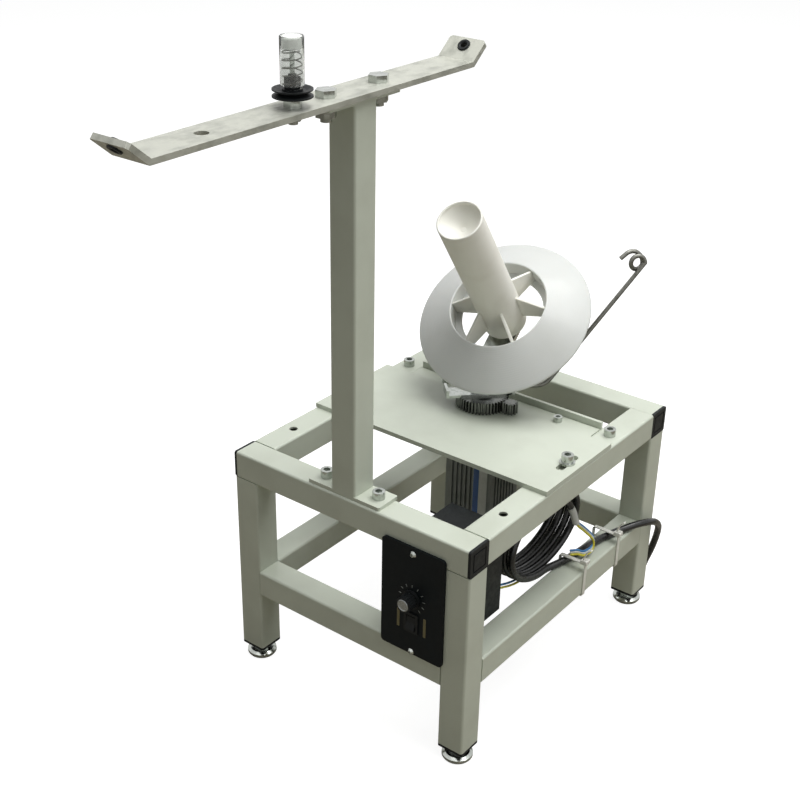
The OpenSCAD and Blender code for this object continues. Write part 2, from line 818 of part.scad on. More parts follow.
// Wire guide: lies on the flyer's end, bends up past the flange and ends in an open eye
module flyer_wire() {
    along = flyer_reach - wire_lap;
    start = [axis_x + along * cos(flyer_angle), axis_y + along * sin(flyer_angle), collar_z + wire / 2];
    corner = [wire_bend[0], wire_bend[1], collar_z + wire / 2];
    rise = unit(wire_eye - corner);
    run_in = unit(corner - start);
    bend = [for (t = [0:0.25:1]) corner - 10 * (1 - t) * (1 - t) * run_in + 10 * t * t * rise];
    side = unit([axis_x - wire_eye[0], axis_y - wire_eye[1], 0]);
    over = unit(rise - (rise * side) * side);
    drift = cross(side, over);
    eye = [for (a = [0:30:420])
        wire_eye + eye_r * (1 - a / 1400) * ((1 - cos(a)) * side + sin(a) * over)
            + (wire + 1) * a / 360 * drift];
    color(zinc) swept_rod(concat([start], bend, eye), wire / 2, 8);
}

// Tilted bracket on the centre shaft, square to the bobbin's axis
module spindle_bracket() {
    reach = -bracket_s * tan(tilt);
    color(zinc) difference() {
        union() {
            at_bobbin() translate([-bracket_w / 2, 0, bracket_s - bracket_t]) linear_extrude(bracket_t) {
                translate([0, -reach - 7]) square([bracket_w, reach + 7]);
                translate([bracket_w / 2, 0]) circle(d = bracket_w);
            }
            at_axis() translate([0, 0, collar_top + 1.5])
                cylinder(d = bracket_w - 4, h = shaft_top - collar_top - 1.5);
        }
        at_axis() translate([0, 0, collar_top]) cylinder(d = shaft, h = shaft_top - collar_top);
        at_bobbin() translate([0, 0, bracket_s - bracket_t - 1]) cylinder(d = spindle, h = bracket_t + 2);
    }
}

module bobbin_spindle() {
    color(zinc) at_bobbin() {
        translate([0, 0, bracket_s - bracket_t - 10])
            cylinder(d = spindle, h = core_top - 20 - bracket_s + bracket_t + 10);
        translate([0, 0, bracket_s]) cylinder(d = 2 * spindle, h = bobbin_floor - bracket_s - gap);
        translate([0, 0, bracket_s - bracket_t - 0.8 * spindle])
            cylinder(d = 1.9 * spindle, h = 0.8 * spindle, $fn = 6);
    }
}

// Tube of the bobbin, with two webs for the bushes and a recess in its end
module bobbin_core() {
    color(white) at_bobbin() difference() {
        union() {
            rotate_extrude() polygon([
                [core_r - core_wall, tube_low], [core_r, tube_low],
                [core_r, core_top], [core_r - core_wall, core_top]]);
            for (z = [bobbin_floor, web_top]) translate([0, 0, z])
                cylinder(r = core_r - core_wall / 2, h = web_t);
            translate([0, 0, core_top - recess]) cylinder(r = core_r - core_wall / 2, h = recess_floor);
        }
        translate([0, 0, bobbin_floor - 1]) cylinder(d = bush_dia, h = core_top - recess - bobbin_floor - 1);
    }
}

// Fins from the tube to the flange, which they carry on its lip
module bobbin_fins() {
    foot = bobbin_floor + flange_wall;
    outer = mouth_r - run;
    color(white) at_bobbin() for (i = [0:fins - 1]) rotate([90, 0, fin_phase + 360 * i / fins])
        translate([0, 0, -fin_t / 2]) linear_extrude(fin_t) polygon([
            [core_r, foot], [outer, foot], [outer, -mouth_drop - 3],
            [core_r + 3, fin_rise - mouth_drop], [core_r, fin_rise - mouth_drop]]);
}

// Flange of the bobbin: a shallow cone round a skirt, with an inner lip under the fins
module bobbin_flange() {
    skirt = mouth_r + flange_wall;
    color(white) at_bobbin() rotate_extrude() polygon([
        [mouth_r - fin_lip, bobbin_floor], [skirt, bobbin_floor], [skirt, -mouth_drop - 2 * flange_wall],
        [flange_r - 2, -flange_drop - flange_wall], [flange_r, -flange_drop - flange_wall - 1.5],
        [flange_r, -flange_drop], [skirt, -mouth_drop], [mouth_r, -mouth_drop],
        [mouth_r, bobbin_floor + flange_wall], [mouth_r - fin_lip, bobbin_floor + flange_wall]]);
}

module bobbin_bushes() {
    color("peru") at_bobbin() for (z = [bobbin_floor, web_top]) translate([0, 0, z]) difference() {
        cylinder(d = bush_dia, h = web_t);
        translate([0, 0, -1]) cylinder(r = spindle / 2 + run, h = web_t + 2);
    }
}

module gear_head() {
    color(zinc) translate([motor_x, motor_y, rail_top - head_l]) difference() {
        linear_extrude(head_l) rounded_square(motor, 4);
        translate([pinion_x - motor_x, pinion_y - motor_y, head_l - motor_shaft_in])
            cylinder(r = motor_shaft / 2 + run, h = motor_shaft_in + 1);
    }
}

// Finned motor body under the gear head
module motor_body() {
    fin_d = 2;
    fin_pitch = 6;
    color(black) translate([motor_x, motor_y, rail_top - head_l - motor_l])
        linear_extrude(motor_l) difference() {
        rounded_square(motor, 4);
        for (a = [0:90:270], i = [-3:3]) rotate(a) translate([i * fin_pitch - fin_pitch / 4, motor / 2 - fin_d])
            square([fin_pitch / 2, fin_d + 1]);
    }
}

module motor_end_cover() {
    color(zinc) translate([motor_x, motor_y, rail_top - head_l - motor_l - 10])
        linear_extrude(10) rounded_square(motor, 6);
}

// Pinion on the motor's output shaft; a gap between two of its teeth faces the flyer gear's tooth
module motor_pinion() {
    color(black) translate([pinion_x, pinion_y, 0]) {
        translate([0, 0, gear_bottom]) linear_extrude(gear_h - 2 * gap)
            rotate([0, 0, pinion_angle + 180 + 180 / pinion_teeth]) gear_outline(pinion_teeth);
        translate([0, 0, rail_top - motor_shaft_in + gap])
            cylinder(d = motor_shaft, h = motor_shaft_in - gap + plate_t + 3);
    }
}

module control_panel() {
    color(black) translate([panel_x, -half_d, panel_z]) rotate([90, 0, 0])
        linear_extrude(panel_t) difference() {
        rounded_rect(panel_w, panel_h, 4);
        translate([0, knob_dz]) circle(d = 8);
        translate([0, rocker_dz]) square([rocker_w, rocker_h], center = true);
        for (s = [-1, 1]) translate([0, s > 0 ? panel_h / 2 - 7 : -panel_h / 2 + 2.5]) circle(d = 4);
    }
}

module panel_screws() {
    color(zinc) for (z = [panel_h / 2 - 7, -panel_h / 2 + 2.5])
        translate([panel_x, panel_front, panel_z + z]) rotate([90, 0, 0]) {
        difference() {
            cylinder(d1 = 7, d2 = 4, h = 2);
            for (a = [0, 90]) rotate(a) translate([0, 0, 2]) cube([3.4, 0.9, 2.4], center = true);
        }
        translate([0, 0, -panel_t - tube_wall]) cylinder(d = 4, h = panel_t + tube_wall);
    }
}

// Hollow box behind the panel, between the upper and lower front rails
module control_box() {
    w = panel_w - 10;
    h = frame_h - tube - low_rail_h - tube - 6;
    z0 = low_rail_z + tube + 3;
    color(black) translate([panel_x - w / 2, -half_d, z0]) difference() {
        cube([w, box_d, h]);
        translate([2, -1, 2]) cube([w - 4, box_d - 1, h - 4]);
    }
}

module speed_knob() {
    color(black) translate([panel_x, panel_front, panel_z + knob_dz]) rotate([90, 0, 0]) {
        translate([0, 0, gap]) cylinder(d = knob_dia, h = 3);
        translate([0, 0, gap + 3]) linear_extrude(11) difference() {
            circle(d = knob_dia - 3);
            for (i = [0:17]) rotate(20 * i) translate([knob_dia / 2 - 1.5, 0]) circle(r = 0.8, $fn = 16);
        }
        translate([0, 0, -panel_t - 6]) cylinder(d = 6, h = panel_t + 7);
    }
}

// Along the rocker's pin, its middle at the origin
module at_rocker_pin() {
    translate([panel_x, panel_front + rocker_pin_in, panel_z + rocker_dz]) rotate([0, 90, 0]) children();
}

module rocker_frame() {
    color(black) difference() {
        translate([panel_x, panel_front, panel_z + rocker_dz]) rotate([90, 0, 0]) {
            linear_extrude(1.5) difference() {
                rounded_rect(rocker_w + 4, rocker_h + 4, 1);
                square([rocker_w - 2, rocker_h - 2], center = true);
            }
            translate([0, 0, -16]) linear_extrude(16) difference() {
                square([rocker_w, rocker_h], center = true);
                square([rocker_w - 2, rocker_h - 2], center = true);
            }
        }
        at_rocker_pin() cylinder(r = rocker_pin / 2 + run, h = rocker_w + 2, center = true);
    }
}

// Rocker with two sloping halves, turning about a pin in the switch's frame
module power_rocker() {
    w = rocker_w - 2 - 2 * gap;
    half = rocker_h / 2 - 1 - rocker_room;
    color(black) {
        translate([panel_x - w / 2, panel_front, panel_z + rocker_dz]) rotate([90, 0, 90]) linear_extrude(w)
            polygon([[4, -half], [4, half], [-0.8, half], [-1.2, 0], [-3.5, -half]]);
        at_rocker_pin() cylinder(d = rocker_pin, h = rocker_w - 2 * gap, center = true);
    }
}

// Mains lead: from the control box into a coil on the lower rail, then round the rear leg to its plug
module mains_lead() {
    steps = 24;
    coil = [for (i = [0:coil_turns * steps])
        [coil_x + coil_pitch * i / steps, coil_y + coil_ry * sin(360 * i / steps),
         lead_z + coil_rz * (1 - cos(360 * i / steps))]];
    route = concat(lead_in, coil, lead_out);
    far = [for (i = [0:len(route) - 1], j = [i + 8:1:len(route) - 1]) norm(route[i] - route[j])];
    echo(lead_gap = min(far) - lead);
    color(black) swept_rod(route, lead / 2, 8);
}

// Tapered sleeve in the control box's back that the lead leaves by
module lead_gland() {
    color(black) translate(lead_exit) rotate([-90, 0, 0]) difference() {
        union() {
            cylinder(r = lead, h = 3);
            cylinder(r1 = lead - 1, r2 = lead / 2 + 1.2, h = gland_l);
        }
        translate([0, 0, -1]) cylinder(r = lead / 2 + run, h = gland_l + 2);
    }
}

// Two-pin plug lying on the floor, the lead meeting its back
module mains_plug() {
    color(black) translate(plug_at) rotate([0, 0, plug_turn]) rotate([-90, 0, 0]) {
        cylinder(r1 = lead / 2 + 1.5, r2 = lead / 2 + 3.5, h = 22);
        translate([0, 0, 22]) cylinder(r1 = lead / 2 + 3.5, r2 = plug_r, h = 8);
        translate([0, 0, 30]) cylinder(r = plug_r, h = 24);
    }
    color(zinc) translate(plug_at) rotate([0, 0, plug_turn]) rotate([-90, 0, 0])
        for (s = [-1, 1]) translate([s * 7, 0, 53]) cylinder(d = 4.8, h = 20);
}

// Nylon ties round the lower rail and the lead on top of it
module cable_ties() {
    x0 = half_w - tube - gap;
    z0 = low_rail_z - gap;
    color(white) for (y = tie_y) translate([x0, y - tie_w / 2, z0]) difference() {
        union() {
            translate([-tie_t, 0, -tie_t])
                cube([tube + 2 * gap + 2 * tie_t, tie_w, tube + lead + 2 + 2 * tie_t]);
            translate([tube - 4, -1.5, tube + lead + 2]) cube([8, tie_w + 3, 5]);
        }
        translate([0, -5, 0]) cube([tube + 2 * gap, tie_w + 10, tube + lead + 2]);
    }
}

front_rail();
rear_rail();
side_rail(-1);  // side_rail_left
side_rail(1);  // side_rail_right
leg(-1, -1);  // leg_front_left
leg(1, -1);  // leg_front_right
leg(-1, 1);  // leg_rear_left
leg(1, 1);  // leg_rear_right
lower_rail_front();
lower_rail_rear();
lower_rail_side(-1);  // lower_rail_left
lower_rail_side(1);  // lower_rail_right
tube_end_caps();
levelling_feet();
drive_plate();
rear_crossbar();
crossbar_strip();
rail_bolts();
crossbar_bolts();
post();
post_base();
post_base_bolts();
post_head();
guide_bar();
bar_bolts();
post_nuts();
bar_eyelets();
tension_stud();
tension_nut();
tension_disc_lower();
tension_disc_upper();
tension_collar();
tension_spring();
tension_sleeve();
centre_shaft();
thrust_washer();
flyer_gear();
flyer_bar();
flyer_collar();
flyer_wire();
spindle_bracket();
bobbin_spindle();
bobbin_core();
bobbin_fins();
bobbin_flange();
bobbin_bushes();
gear_head();
motor_body();
motor_end_cover();
motor_pinion();
control_panel();
panel_screws();
control_box();
speed_knob();
power_rocker();
rocker_frame();
lead_gland();
mains_lead();
mains_plug();
cable_ties();
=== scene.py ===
"""Finishes, fine pieces, light and camera for a motorised yarn ball winder.

The stand, plate, post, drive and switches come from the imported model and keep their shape. The lead, the
bobbin, the wire guide, the tensioner's spring and sleeve, the nylon ties, the panel's print, the motor's
blank label and the loose cores are modelled here over them. A length with no unit beside it is in mm. Places
are in the part's own frame: the origin is on the floor at the middle of the feet, +X is right, +Y is back
and +Z is up.
"""

from __future__ import annotations

import logging
import math
from dataclasses import dataclass
from enum import Enum
from typing import Any

import bpy
from bpy.types import Material, Node, NodeSocket, NodeTree, Object
from mathutils import Matrix, Quaternion, Vector

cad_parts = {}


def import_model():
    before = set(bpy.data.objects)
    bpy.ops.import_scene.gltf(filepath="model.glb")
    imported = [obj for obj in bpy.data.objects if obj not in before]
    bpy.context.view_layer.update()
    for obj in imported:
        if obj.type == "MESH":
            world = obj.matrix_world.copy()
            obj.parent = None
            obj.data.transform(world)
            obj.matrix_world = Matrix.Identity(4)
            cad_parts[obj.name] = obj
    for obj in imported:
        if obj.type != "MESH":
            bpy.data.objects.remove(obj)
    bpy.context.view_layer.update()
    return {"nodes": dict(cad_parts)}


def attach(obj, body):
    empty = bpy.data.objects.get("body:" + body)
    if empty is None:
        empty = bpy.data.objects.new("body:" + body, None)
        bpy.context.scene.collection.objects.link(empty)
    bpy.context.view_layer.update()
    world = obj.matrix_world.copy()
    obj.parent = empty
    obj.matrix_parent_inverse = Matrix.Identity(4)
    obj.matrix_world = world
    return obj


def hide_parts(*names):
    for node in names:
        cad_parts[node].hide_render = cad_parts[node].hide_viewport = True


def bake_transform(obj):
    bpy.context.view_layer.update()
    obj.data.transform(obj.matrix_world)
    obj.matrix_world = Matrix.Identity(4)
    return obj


LOG = logging.getLogger("yarn_winder")
MM = 0.001

Point = tuple[float, float, float]
Place = tuple[float, float]
Route = tuple[Point, ...]
Profile = tuple[Place, ...]

# Points of a mesh that lie closer than this are merged, metres
MERGE = 0.00001
# Edges bent more than this many degrees stay sharp
SHARP_PLATE, SHARP_TURNED, SHARP_ROD = 30.0, 35.0, 50.0
# Steps of a rounded corner in a flat outline, and of a plate's softened edge
CORNER_STEPS, EDGE_STEPS = 5, 2
# Clouds of a finish: octaves in its colour, its gloss and its grain, and how rough they are
CLOUD_DETAIL, GLOSS_DETAIL, GRAIN_DETAIL, NOISE_ROUGH = 5.0, 3.0, 2.0, 0.55
# Share of the clouds' range over which the second colour comes in
STAIN_WIDE = 0.35
# Part of that range that runs from the least to the greatest roughness, in patches this many times finer
GLOSS_RANGE, GLOSS_FINER = (0.3, 0.7), 3
# Distance from ring to ring of the wave texture at a scale of 1, and how uneven the rings are
WAVE_STEP, RING_UNEVEN = math.pi / 10, 0.4
# Share of the light that goes into white plastic, and how deep each colour gets, metres
GLOW_SHARE, GLOW_DEEP = 0.15, (0.004, 0.0035, 0.003)
# Share of the light that clear plastic lets through, and its index of refraction
CLEAR_SHARE, CLEAR_INDEX = 0.95, 1.46
# Width of the camera's frame
SENSOR = 36.0


class Body(str, Enum):
    """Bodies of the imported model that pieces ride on."""

    FRAME = "frame"
    FLYER = "flyer"
    BOBBIN = "bobbin"
    KNOB = "speed_knob"
    SLEEVE = "tension_sleeve"


class Slot(str, Enum):
    """Material slots of the record."""

    PAINT = "frame_paint"
    PLASTIC = "black_plastic"
    PANEL = "panel_face"
    ZINC = "zinc_steel"
    BAR = "bar_steel"
    TURNED = "turned_steel"
    GEAR = "gear_steel"
    BOBBIN = "bobbin_white"
    BRONZE = "bronze"
    MOTOR = "motor_black"
    HEAD = "motor_grey"
    SLEEVE = "clear_sleeve"
    LEAD = "lead_black"
    NYLON = "nylon"


CAD_FINISH: dict[Slot, tuple[str, ...]] = {
    Slot.PAINT: (
        *("front_rail", "rear_rail", "side_rail_left", "side_rail_right"),
        *("leg_front_left", "leg_front_right", "leg_rear_left", "leg_rear_right"),
        *("lower_rail_front", "lower_rail_rear", "lower_rail_left", "lower_rail_right"),
        *("drive_plate", "rear_crossbar", "crossbar_strip", "post", "post_base", "post_head"),
    ),
    Slot.PLASTIC: (
        *("tube_end_caps", "bar_eyelets", "tension_disc_lower", "tension_disc_upper", "tension_collar"),
        *("control_box", "speed_knob", "power_rocker", "rocker_frame", "lead_gland"),
    ),
    Slot.PANEL: ("control_panel",),
    Slot.ZINC: (
        *("levelling_feet", "rail_bolts", "crossbar_bolts", "post_base_bolts", "post_nuts", "bar_bolts"),
        *("tension_nut", "tension_stud", "flyer_bar", "spindle_bracket", "panel_screws"),
    ),
    Slot.BAR: ("guide_bar",),
    Slot.TURNED: ("centre_shaft", "thrust_washer", "flyer_collar", "bobbin_spindle"),
    Slot.GEAR: ("flyer_gear", "motor_pinion"),
    Slot.BRONZE: ("bobbin_bushes",),
    Slot.MOTOR: ("motor_end_cover",),
    Slot.HEAD: ("gear_head", "motor_body"),
    Slot.LEAD: ("mains_plug",),
}


def linear(code: str) -> tuple[float, float, float, float]:
    """Turns an sRGB colour code into a linear colour.

    Args:
        code: Six hex digits after a hash sign.

    Returns:
        Red, green, blue and alpha as Blender's sockets take them.
    """
    parts = [int(code[i : i + 2], 16) / 255 for i in (1, 3, 5)]
    flat = [c / 12.92 if c <= 0.04045 else ((c + 0.055) / 1.055) ** 2.4 for c in parts]
    return (flat[0], flat[1], flat[2], 1.0)


def add_node(tree: NodeTree, kind: str, inputs: dict | None = None, **settings: Any) -> Node:
    """Adds a node with its settings, values and links.

    Args:
        tree: The node tree.
        kind: The node's type name.
        inputs: Sockets by name or number, each with a value or with the socket that feeds it.
        **settings: Properties of the node.

    Returns:
        The node.
    """
    made = tree.nodes.new(kind)
    for key, value in settings.items():
        setattr(made, key, value)
    for key, value in (inputs or {}).items():
        if isinstance(value, NodeSocket):
            tree.links.new(value, made.inputs[key])
        else:
            made.inputs[key].default_value = value
    return made


def empty_tree(owner: Any) -> NodeTree:
    """Gives a material or world nodes of its own, none yet."""
    owner.use_nodes = True
    owner.node_tree.nodes.clear()
    return owner.node_tree


@dataclass(frozen=True)
class Finish:
    """A surface with cloudy colour, uneven gloss and a fine grain."""

    name: str  # The real finish
    colour: str  # Main colour, sRGB hex
    stain: str  # Second colour that the clouds mix in, sRGB hex
    stain_mm: float  # Size of the clouds
    stain_from: float  # Level of the clouds at which the second colour begins, 0 to 1
    rough: tuple[float, float]  # Least and greatest roughness
    grain_mm: float  # Size of the grain
    grain_deep_mm: float  # Depth of the grain
    metal: float = 0.0  # 1 for bare metal
    coat: float = 0.0  # Weight of a clear coat
    stretch: Point = (1.0, 1.0, 1.0)  # How much longer clouds and grain run along X, Y and Z
    gloss: float = 0.5  # Strength of the mirror light that the bare surface throws back

    def build(self) -> Material:
        """Makes the material.

        Returns:
            The material, ready to assign.
        """
        material = bpy.data.materials.new(self.name)
        tree = empty_tree(material)
        values = {"Metallic": self.metal, "Coat Weight": self.coat, "Specular IOR Level": self.gloss}
        shader = add_node(tree, "ShaderNodeBsdfPrincipled", values | self.more())
        out = add_node(tree, "ShaderNodeOutputMaterial", {"Surface": shader.outputs["BSDF"]})
        out.is_active_output = True
        where = add_node(tree, "ShaderNodeTexCoord").outputs["Object"]
        values = {"Vector": where, "Scale": tuple(1 / s for s in self.stretch)}
        place = add_node(tree, "ShaderNodeMapping", values).outputs["Vector"]
        clouds = self.noise(tree, place, self.stain_mm, CLOUD_DETAIL)
        ramp = add_node(tree, "ShaderNodeValToRGB", {"Fac": clouds})
        first, second = ramp.color_ramp.elements
        first.position = self.stain_from
        first.color = linear(self.colour)
        second.position = min(1.0, self.stain_from + STAIN_WIDE)
        second.color = linear(self.stain)
        tree.links.new(ramp.outputs["Color"], shader.inputs["Base Color"])
        patches = self.noise(tree, place, self.stain_mm / GLOSS_FINER, GLOSS_DETAIL)
        values = {"Value": patches, "From Min": GLOSS_RANGE[0], "From Max": GLOSS_RANGE[1]}
        values |= {"To Min": self.rough[0], "To Max": self.rough[1]}
        gloss = add_node(tree, "ShaderNodeMapRange", values)
        tree.links.new(gloss.outputs["Result"], shader.inputs["Roughness"])
        height, deep_mm = self.relief(tree, place)
        values = {"Height": height, "Strength": 1.0, "Distance": deep_mm * MM}
        bump = add_node(tree, "ShaderNodeBump", values)
        tree.links.new(bump.outputs["Normal"], shader.inputs["Normal"])
        return material

    def noise(self, tree: NodeTree, place: NodeSocket, size_mm: float, detail: float) -> NodeSocket:
        """Adds clouds of a real size, with so many octaves of finer ones, and gives their level."""
        values = {"Vector": place, "Scale": 1 / (size_mm * MM), "Detail": detail, "Roughness": NOISE_ROUGH}
        return add_node(tree, "ShaderNodeTexNoise", values).outputs[0]

    def relief(self, tree: NodeTree, place: NodeSocket) -> tuple[NodeSocket, float]:
        """Gives the surface's grain as a socket with heights, and its depth."""
        return self.noise(tree, place, self.grain_mm, GRAIN_DETAIL), self.grain_deep_mm

    def more(self) -> dict[str, Any]:
        """Gives the shader values that only some finishes have."""
        return {}


@dataclass(frozen=True)
class RingedFinish(Finish):
    """A surface with fine rings about an axis, as turning leaves them on a mould or on metal."""

    centre: Point = (0.0, 0.0, 0.0)  # A point on the axis
    tilt: Place = (0.0, 0.0)  # Lean and turn of the axis in degrees, about X and then about Z
    ring_mm: float = 1.6  # Distance from ring to ring
    ring_deep_mm: float = 0.02  # Depth of a ring

    def relief(self, tree: NodeTree, place: NodeSocket) -> tuple[NodeSocket, float]:
        """Gives the surface's rings.

        Args:
            tree: The material's nodes.
            place: Coordinates in metres.

        Returns:
            The socket with the heights, and their depth.
        """
        lean, around = (math.radians(angle) for angle in self.tilt)
        values = {"Vector": place, "Location": tuple(c * MM for c in self.centre)}
        values |= {"Rotation": (lean, 0.0, around)}
        axis = add_node(tree, "ShaderNodeMapping", values, vector_type="TEXTURE").outputs["Vector"]
        values = {"Vector": axis, "Scale": WAVE_STEP / (self.ring_mm * MM)}
        values |= {"Distortion": RING_UNEVEN, "Detail": 1.0}
        rings = add_node(tree, "ShaderNodeTexWave", values, wave_type="RINGS", rings_direction="Z")
        return rings.outputs["Fac"], self.ring_deep_mm

    def more(self) -> dict[str, Any]:
        """Lets a little light into plastic, which bare metal does not show."""
        return {"Subsurface Weight": GLOW_SHARE, "Subsurface Radius": GLOW_DEEP, "Subsurface Scale": 1.0}


@dataclass(frozen=True)
class ClearFinish(Finish):
    """See-through plastic tube with faint drawn lines."""

    def more(self) -> dict[str, Any]:
        """Makes the plastic clear."""
        return {"Transmission Weight": CLEAR_SHARE, "IOR": CLEAR_INDEX}


# A point on the bobbin's axis, mm, and its lean and turn, degrees
BOBBIN_CENTRE: Point = (-7.0, 54.0, 408.0)
BOBBIN_LEAN: Place = (37.0, 5.3)

FINISHES: dict[Slot, Finish] = {
    # Pale grey-green satin enamel, a little cloudy, with the orange peel of sprayed paint
    Slot.PAINT: Finish("satin_enamel", "#c5cbbd", "#babfb1", 60, 0.45, (0.34, 0.52), 1.6, 0.03, coat=0.15),
    # Moulded black plastic, fine matt grain, greyer where it is rubbed
    Slot.PLASTIC: Finish("moulded_black", "#111415", "#1d2122", 12, 0.5, (0.4, 0.6), 0.5, 0.03, gloss=0.22),
    # Black lacquered sheet of the panel, even and half matt
    Slot.PANEL: Finish("panel_lacquer", "#070c0e", "#0b1215", 25, 0.5, (0.45, 0.6), 0.4, 0.012, gloss=0.15),
    # Bright zinc plating with faint yellow-grey clouds
    Slot.ZINC: Finish("zinc_plate", "#bcc0bb", "#8f938e", 7, 0.45, (0.12, 0.26), 0.35, 0.008, metal=1.0),
    # Mill-rolled flat bar with dull blotches along its length
    Slot.BAR: Finish(
        *("mill_steel", "#b2b3a9", "#84867d", 12, 0.46, (0.34, 0.58), 0.8, 0.02),
        metal=0.5,
        stretch=(1.0, 2.0, 1.0),
    ),
    # Turned and polished steel
    Slot.TURNED: Finish("turned_steel", "#cfd1d2", "#aeb1b3", 5, 0.5, (0.14, 0.26), 0.2, 0.006, metal=1.0),
    # Dark oiled steel of the toothed wheel
    Slot.GEAR: Finish("oiled_steel", "#777975", "#5a5c58", 6, 0.42, (0.16, 0.28), 0.4, 0.008, metal=1.0),
    # Gloss white moulding with the fine rings of its mould
    Slot.BOBBIN: RingedFinish(
        *("gloss_white_moulding", "#cccecb", "#c6c8c4", 50, 0.5, (0.14, 0.22), 1.0, 0.01),
        gloss=0.3,
        centre=BOBBIN_CENTRE,
        tilt=BOBBIN_LEAN,
        ring_mm=2.0,
        ring_deep_mm=0.05,
    ),
    # Sintered bronze
    Slot.BRONZE: Finish("sintered_bronze", "#a97a45", "#86602f", 3, 0.5, (0.4, 0.6), 0.3, 0.02, metal=1.0),
    # Black painted motor casting
    Slot.MOTOR: Finish("black_casting", "#2a2c2b", "#3b3e3d", 20, 0.45, (0.3, 0.5), 0.9, 0.04),
    # Grey aluminium of the motor's ribbed case and gear head
    Slot.HEAD: Finish("grey_casting", "#7f8482", "#696e6c", 20, 0.45, (0.35, 0.55), 0.9, 0.04, metal=0.3),
    # Drawn clear tube
    Slot.SLEEVE: ClearFinish("clear_tube", "#e3e5e2", "#dadcd9", 20, 0.5, (0.05, 0.1), 2.0, 0.01),
    # Shiny black cable sheath with a faint drawn ripple
    Slot.LEAD: Finish("cable_sheath", "#141515", "#222424", 15, 0.5, (0.22, 0.36), 2.5, 0.05),
    # Milky nylon
    Slot.NYLON: Finish("milky_nylon", "#e6e6df", "#d6d6cc", 8, 0.5, (0.3, 0.45), 0.7, 0.02),
}

# Warmer white of the bobbin's tube and fins
CREAM_MOULDING = Finish("cream_moulding", "#f0efe7", "#e6e4da", 40, 0.5, (0.3, 0.42), 1.2, 0.015, gloss=0.25)
# Print on the panel: grey marks and olive-gold stripes
MARK_PRINT = Finish("grey_print", "#8d9390", "#7b817e", 6, 0.5, (0.5, 0.65), 0.3, 0.005)
STRIPE_PRINT = Finish("gold_print", "#6b6340", "#575134", 6, 0.5, (0.35, 0.5), 0.3, 0.005)
# Spun aluminium end of the knob, in fine rings about the knob's axis
SPUN_CAP = RingedFinish(
    *("spun_aluminium", "#9a9d9e", "#7f8283", 4, 0.5, (0.18, 0.3), 0.3, 0.005),
    metal=1.0,
    centre=(86.0, -207.0, 181.0),
    tilt=(90.0, 0.0),
    ring_mm=0.35,
    ring_deep_mm=0.012,
)
# Dull zinc of the wire guide and the spring
DULL_WIRE = Finish("dull_wire", "#787872", "#5a5a54", 5, 0.45, (0.3, 0.5), 0.3, 0.01, metal=0.9)
# Frosted white plug of the tensioner's sleeve
FROSTED = Finish("frosted_white", "#e4e6e1", "#d4d6d0", 6, 0.5, (0.4, 0.55), 0.4, 0.02)
# White of the motor's label and of a core's sleeve, and the label's blue band
LABEL_WHITE = Finish("label_white", "#c9ccca", "#bbbebc", 8, 0.5, (0.3, 0.45), 0.4, 0.006)
LABEL_BLUE = Finish("label_blue", "#3a5f9c", "#33548b", 8, 0.5, (0.3, 0.45), 0.4, 0.006)
# Sheaths of the lead's cores
CORE_BLUE = Finish("core_blue", "#3f7fb8", "#376fa2", 6, 0.5, (0.35, 0.5), 0.8, 0.01)
CORE_YELLOW = Finish("core_yellow", "#d3c93c", "#b9b033", 6, 0.5, (0.35, 0.5), 0.8, 0.01)
# Brass of the plug's pins
PIN_BRASS = Finish("pin_brass", "#c9a85a", "#a98a43", 3, 0.5, (0.2, 0.35), 0.3, 0.01, metal=1.0)


def fresh() -> None:
    """Leaves edit mode and deselects everything."""
    active = bpy.context.view_layer.objects.active
    if active is not None and active.mode != "OBJECT":
        bpy.ops.object.mode_set(mode="OBJECT")
    bpy.ops.object.select_all(action="DESELECT")


def pick(piece: Object) -> None:
    """Makes one piece the only one selected, and the active one."""
    fresh()
    piece.select_set(True)
    bpy.context.view_layer.objects.active = piece


def settle(piece: Object, place: Matrix | None = None, sharp: float = 40.0) -> Object:
    """Moves a piece to its place, applies that and smooths it.

    Args:
        piece: A mesh.
        place: Where it goes, in metres.
        sharp: Edges bent more than this many degrees stay sharp.

    Returns:
        The same piece, its object at the origin.
    """
    pick(piece)
    if place is not None:
        piece.matrix_world = place @ piece.matrix_world
    bpy.ops.object.transform_apply(location=True, rotation=True, scale=True)
    bpy.ops.object.shade_smooth_by_angle(angle=math.radians(sharp))
    return piece


def drawn(name: str, routes: list[list[Point]], closed: bool, flat: bool = False) -> Object:
    """Draws a curve of straight steps.

    Args:
        name: The piece's name.
        routes: One list of points in mm for each line.
        closed: Whether the lines close on themselves.
        flat: Whether the curve is a filled flat outline.

    Returns:
        The curve object, without thickness.
    """
    curve = bpy.data.curves.new(name, "CURVE")
    curve.dimensions = "2D" if flat else "3D"
    for route in routes:
        spline = curve.splines.new("POLY")
        spline.points.add(len(route) - 1)
        spline.use_cyclic_u = closed
        for point, (x, y, z) in zip(spline.points, route):
            point.co = (x * MM, y * MM, z * MM, 1.0)
    piece = bpy.data.objects.new(name, curve)
    bpy.context.scene.collection.objects.link(piece)
    return piece


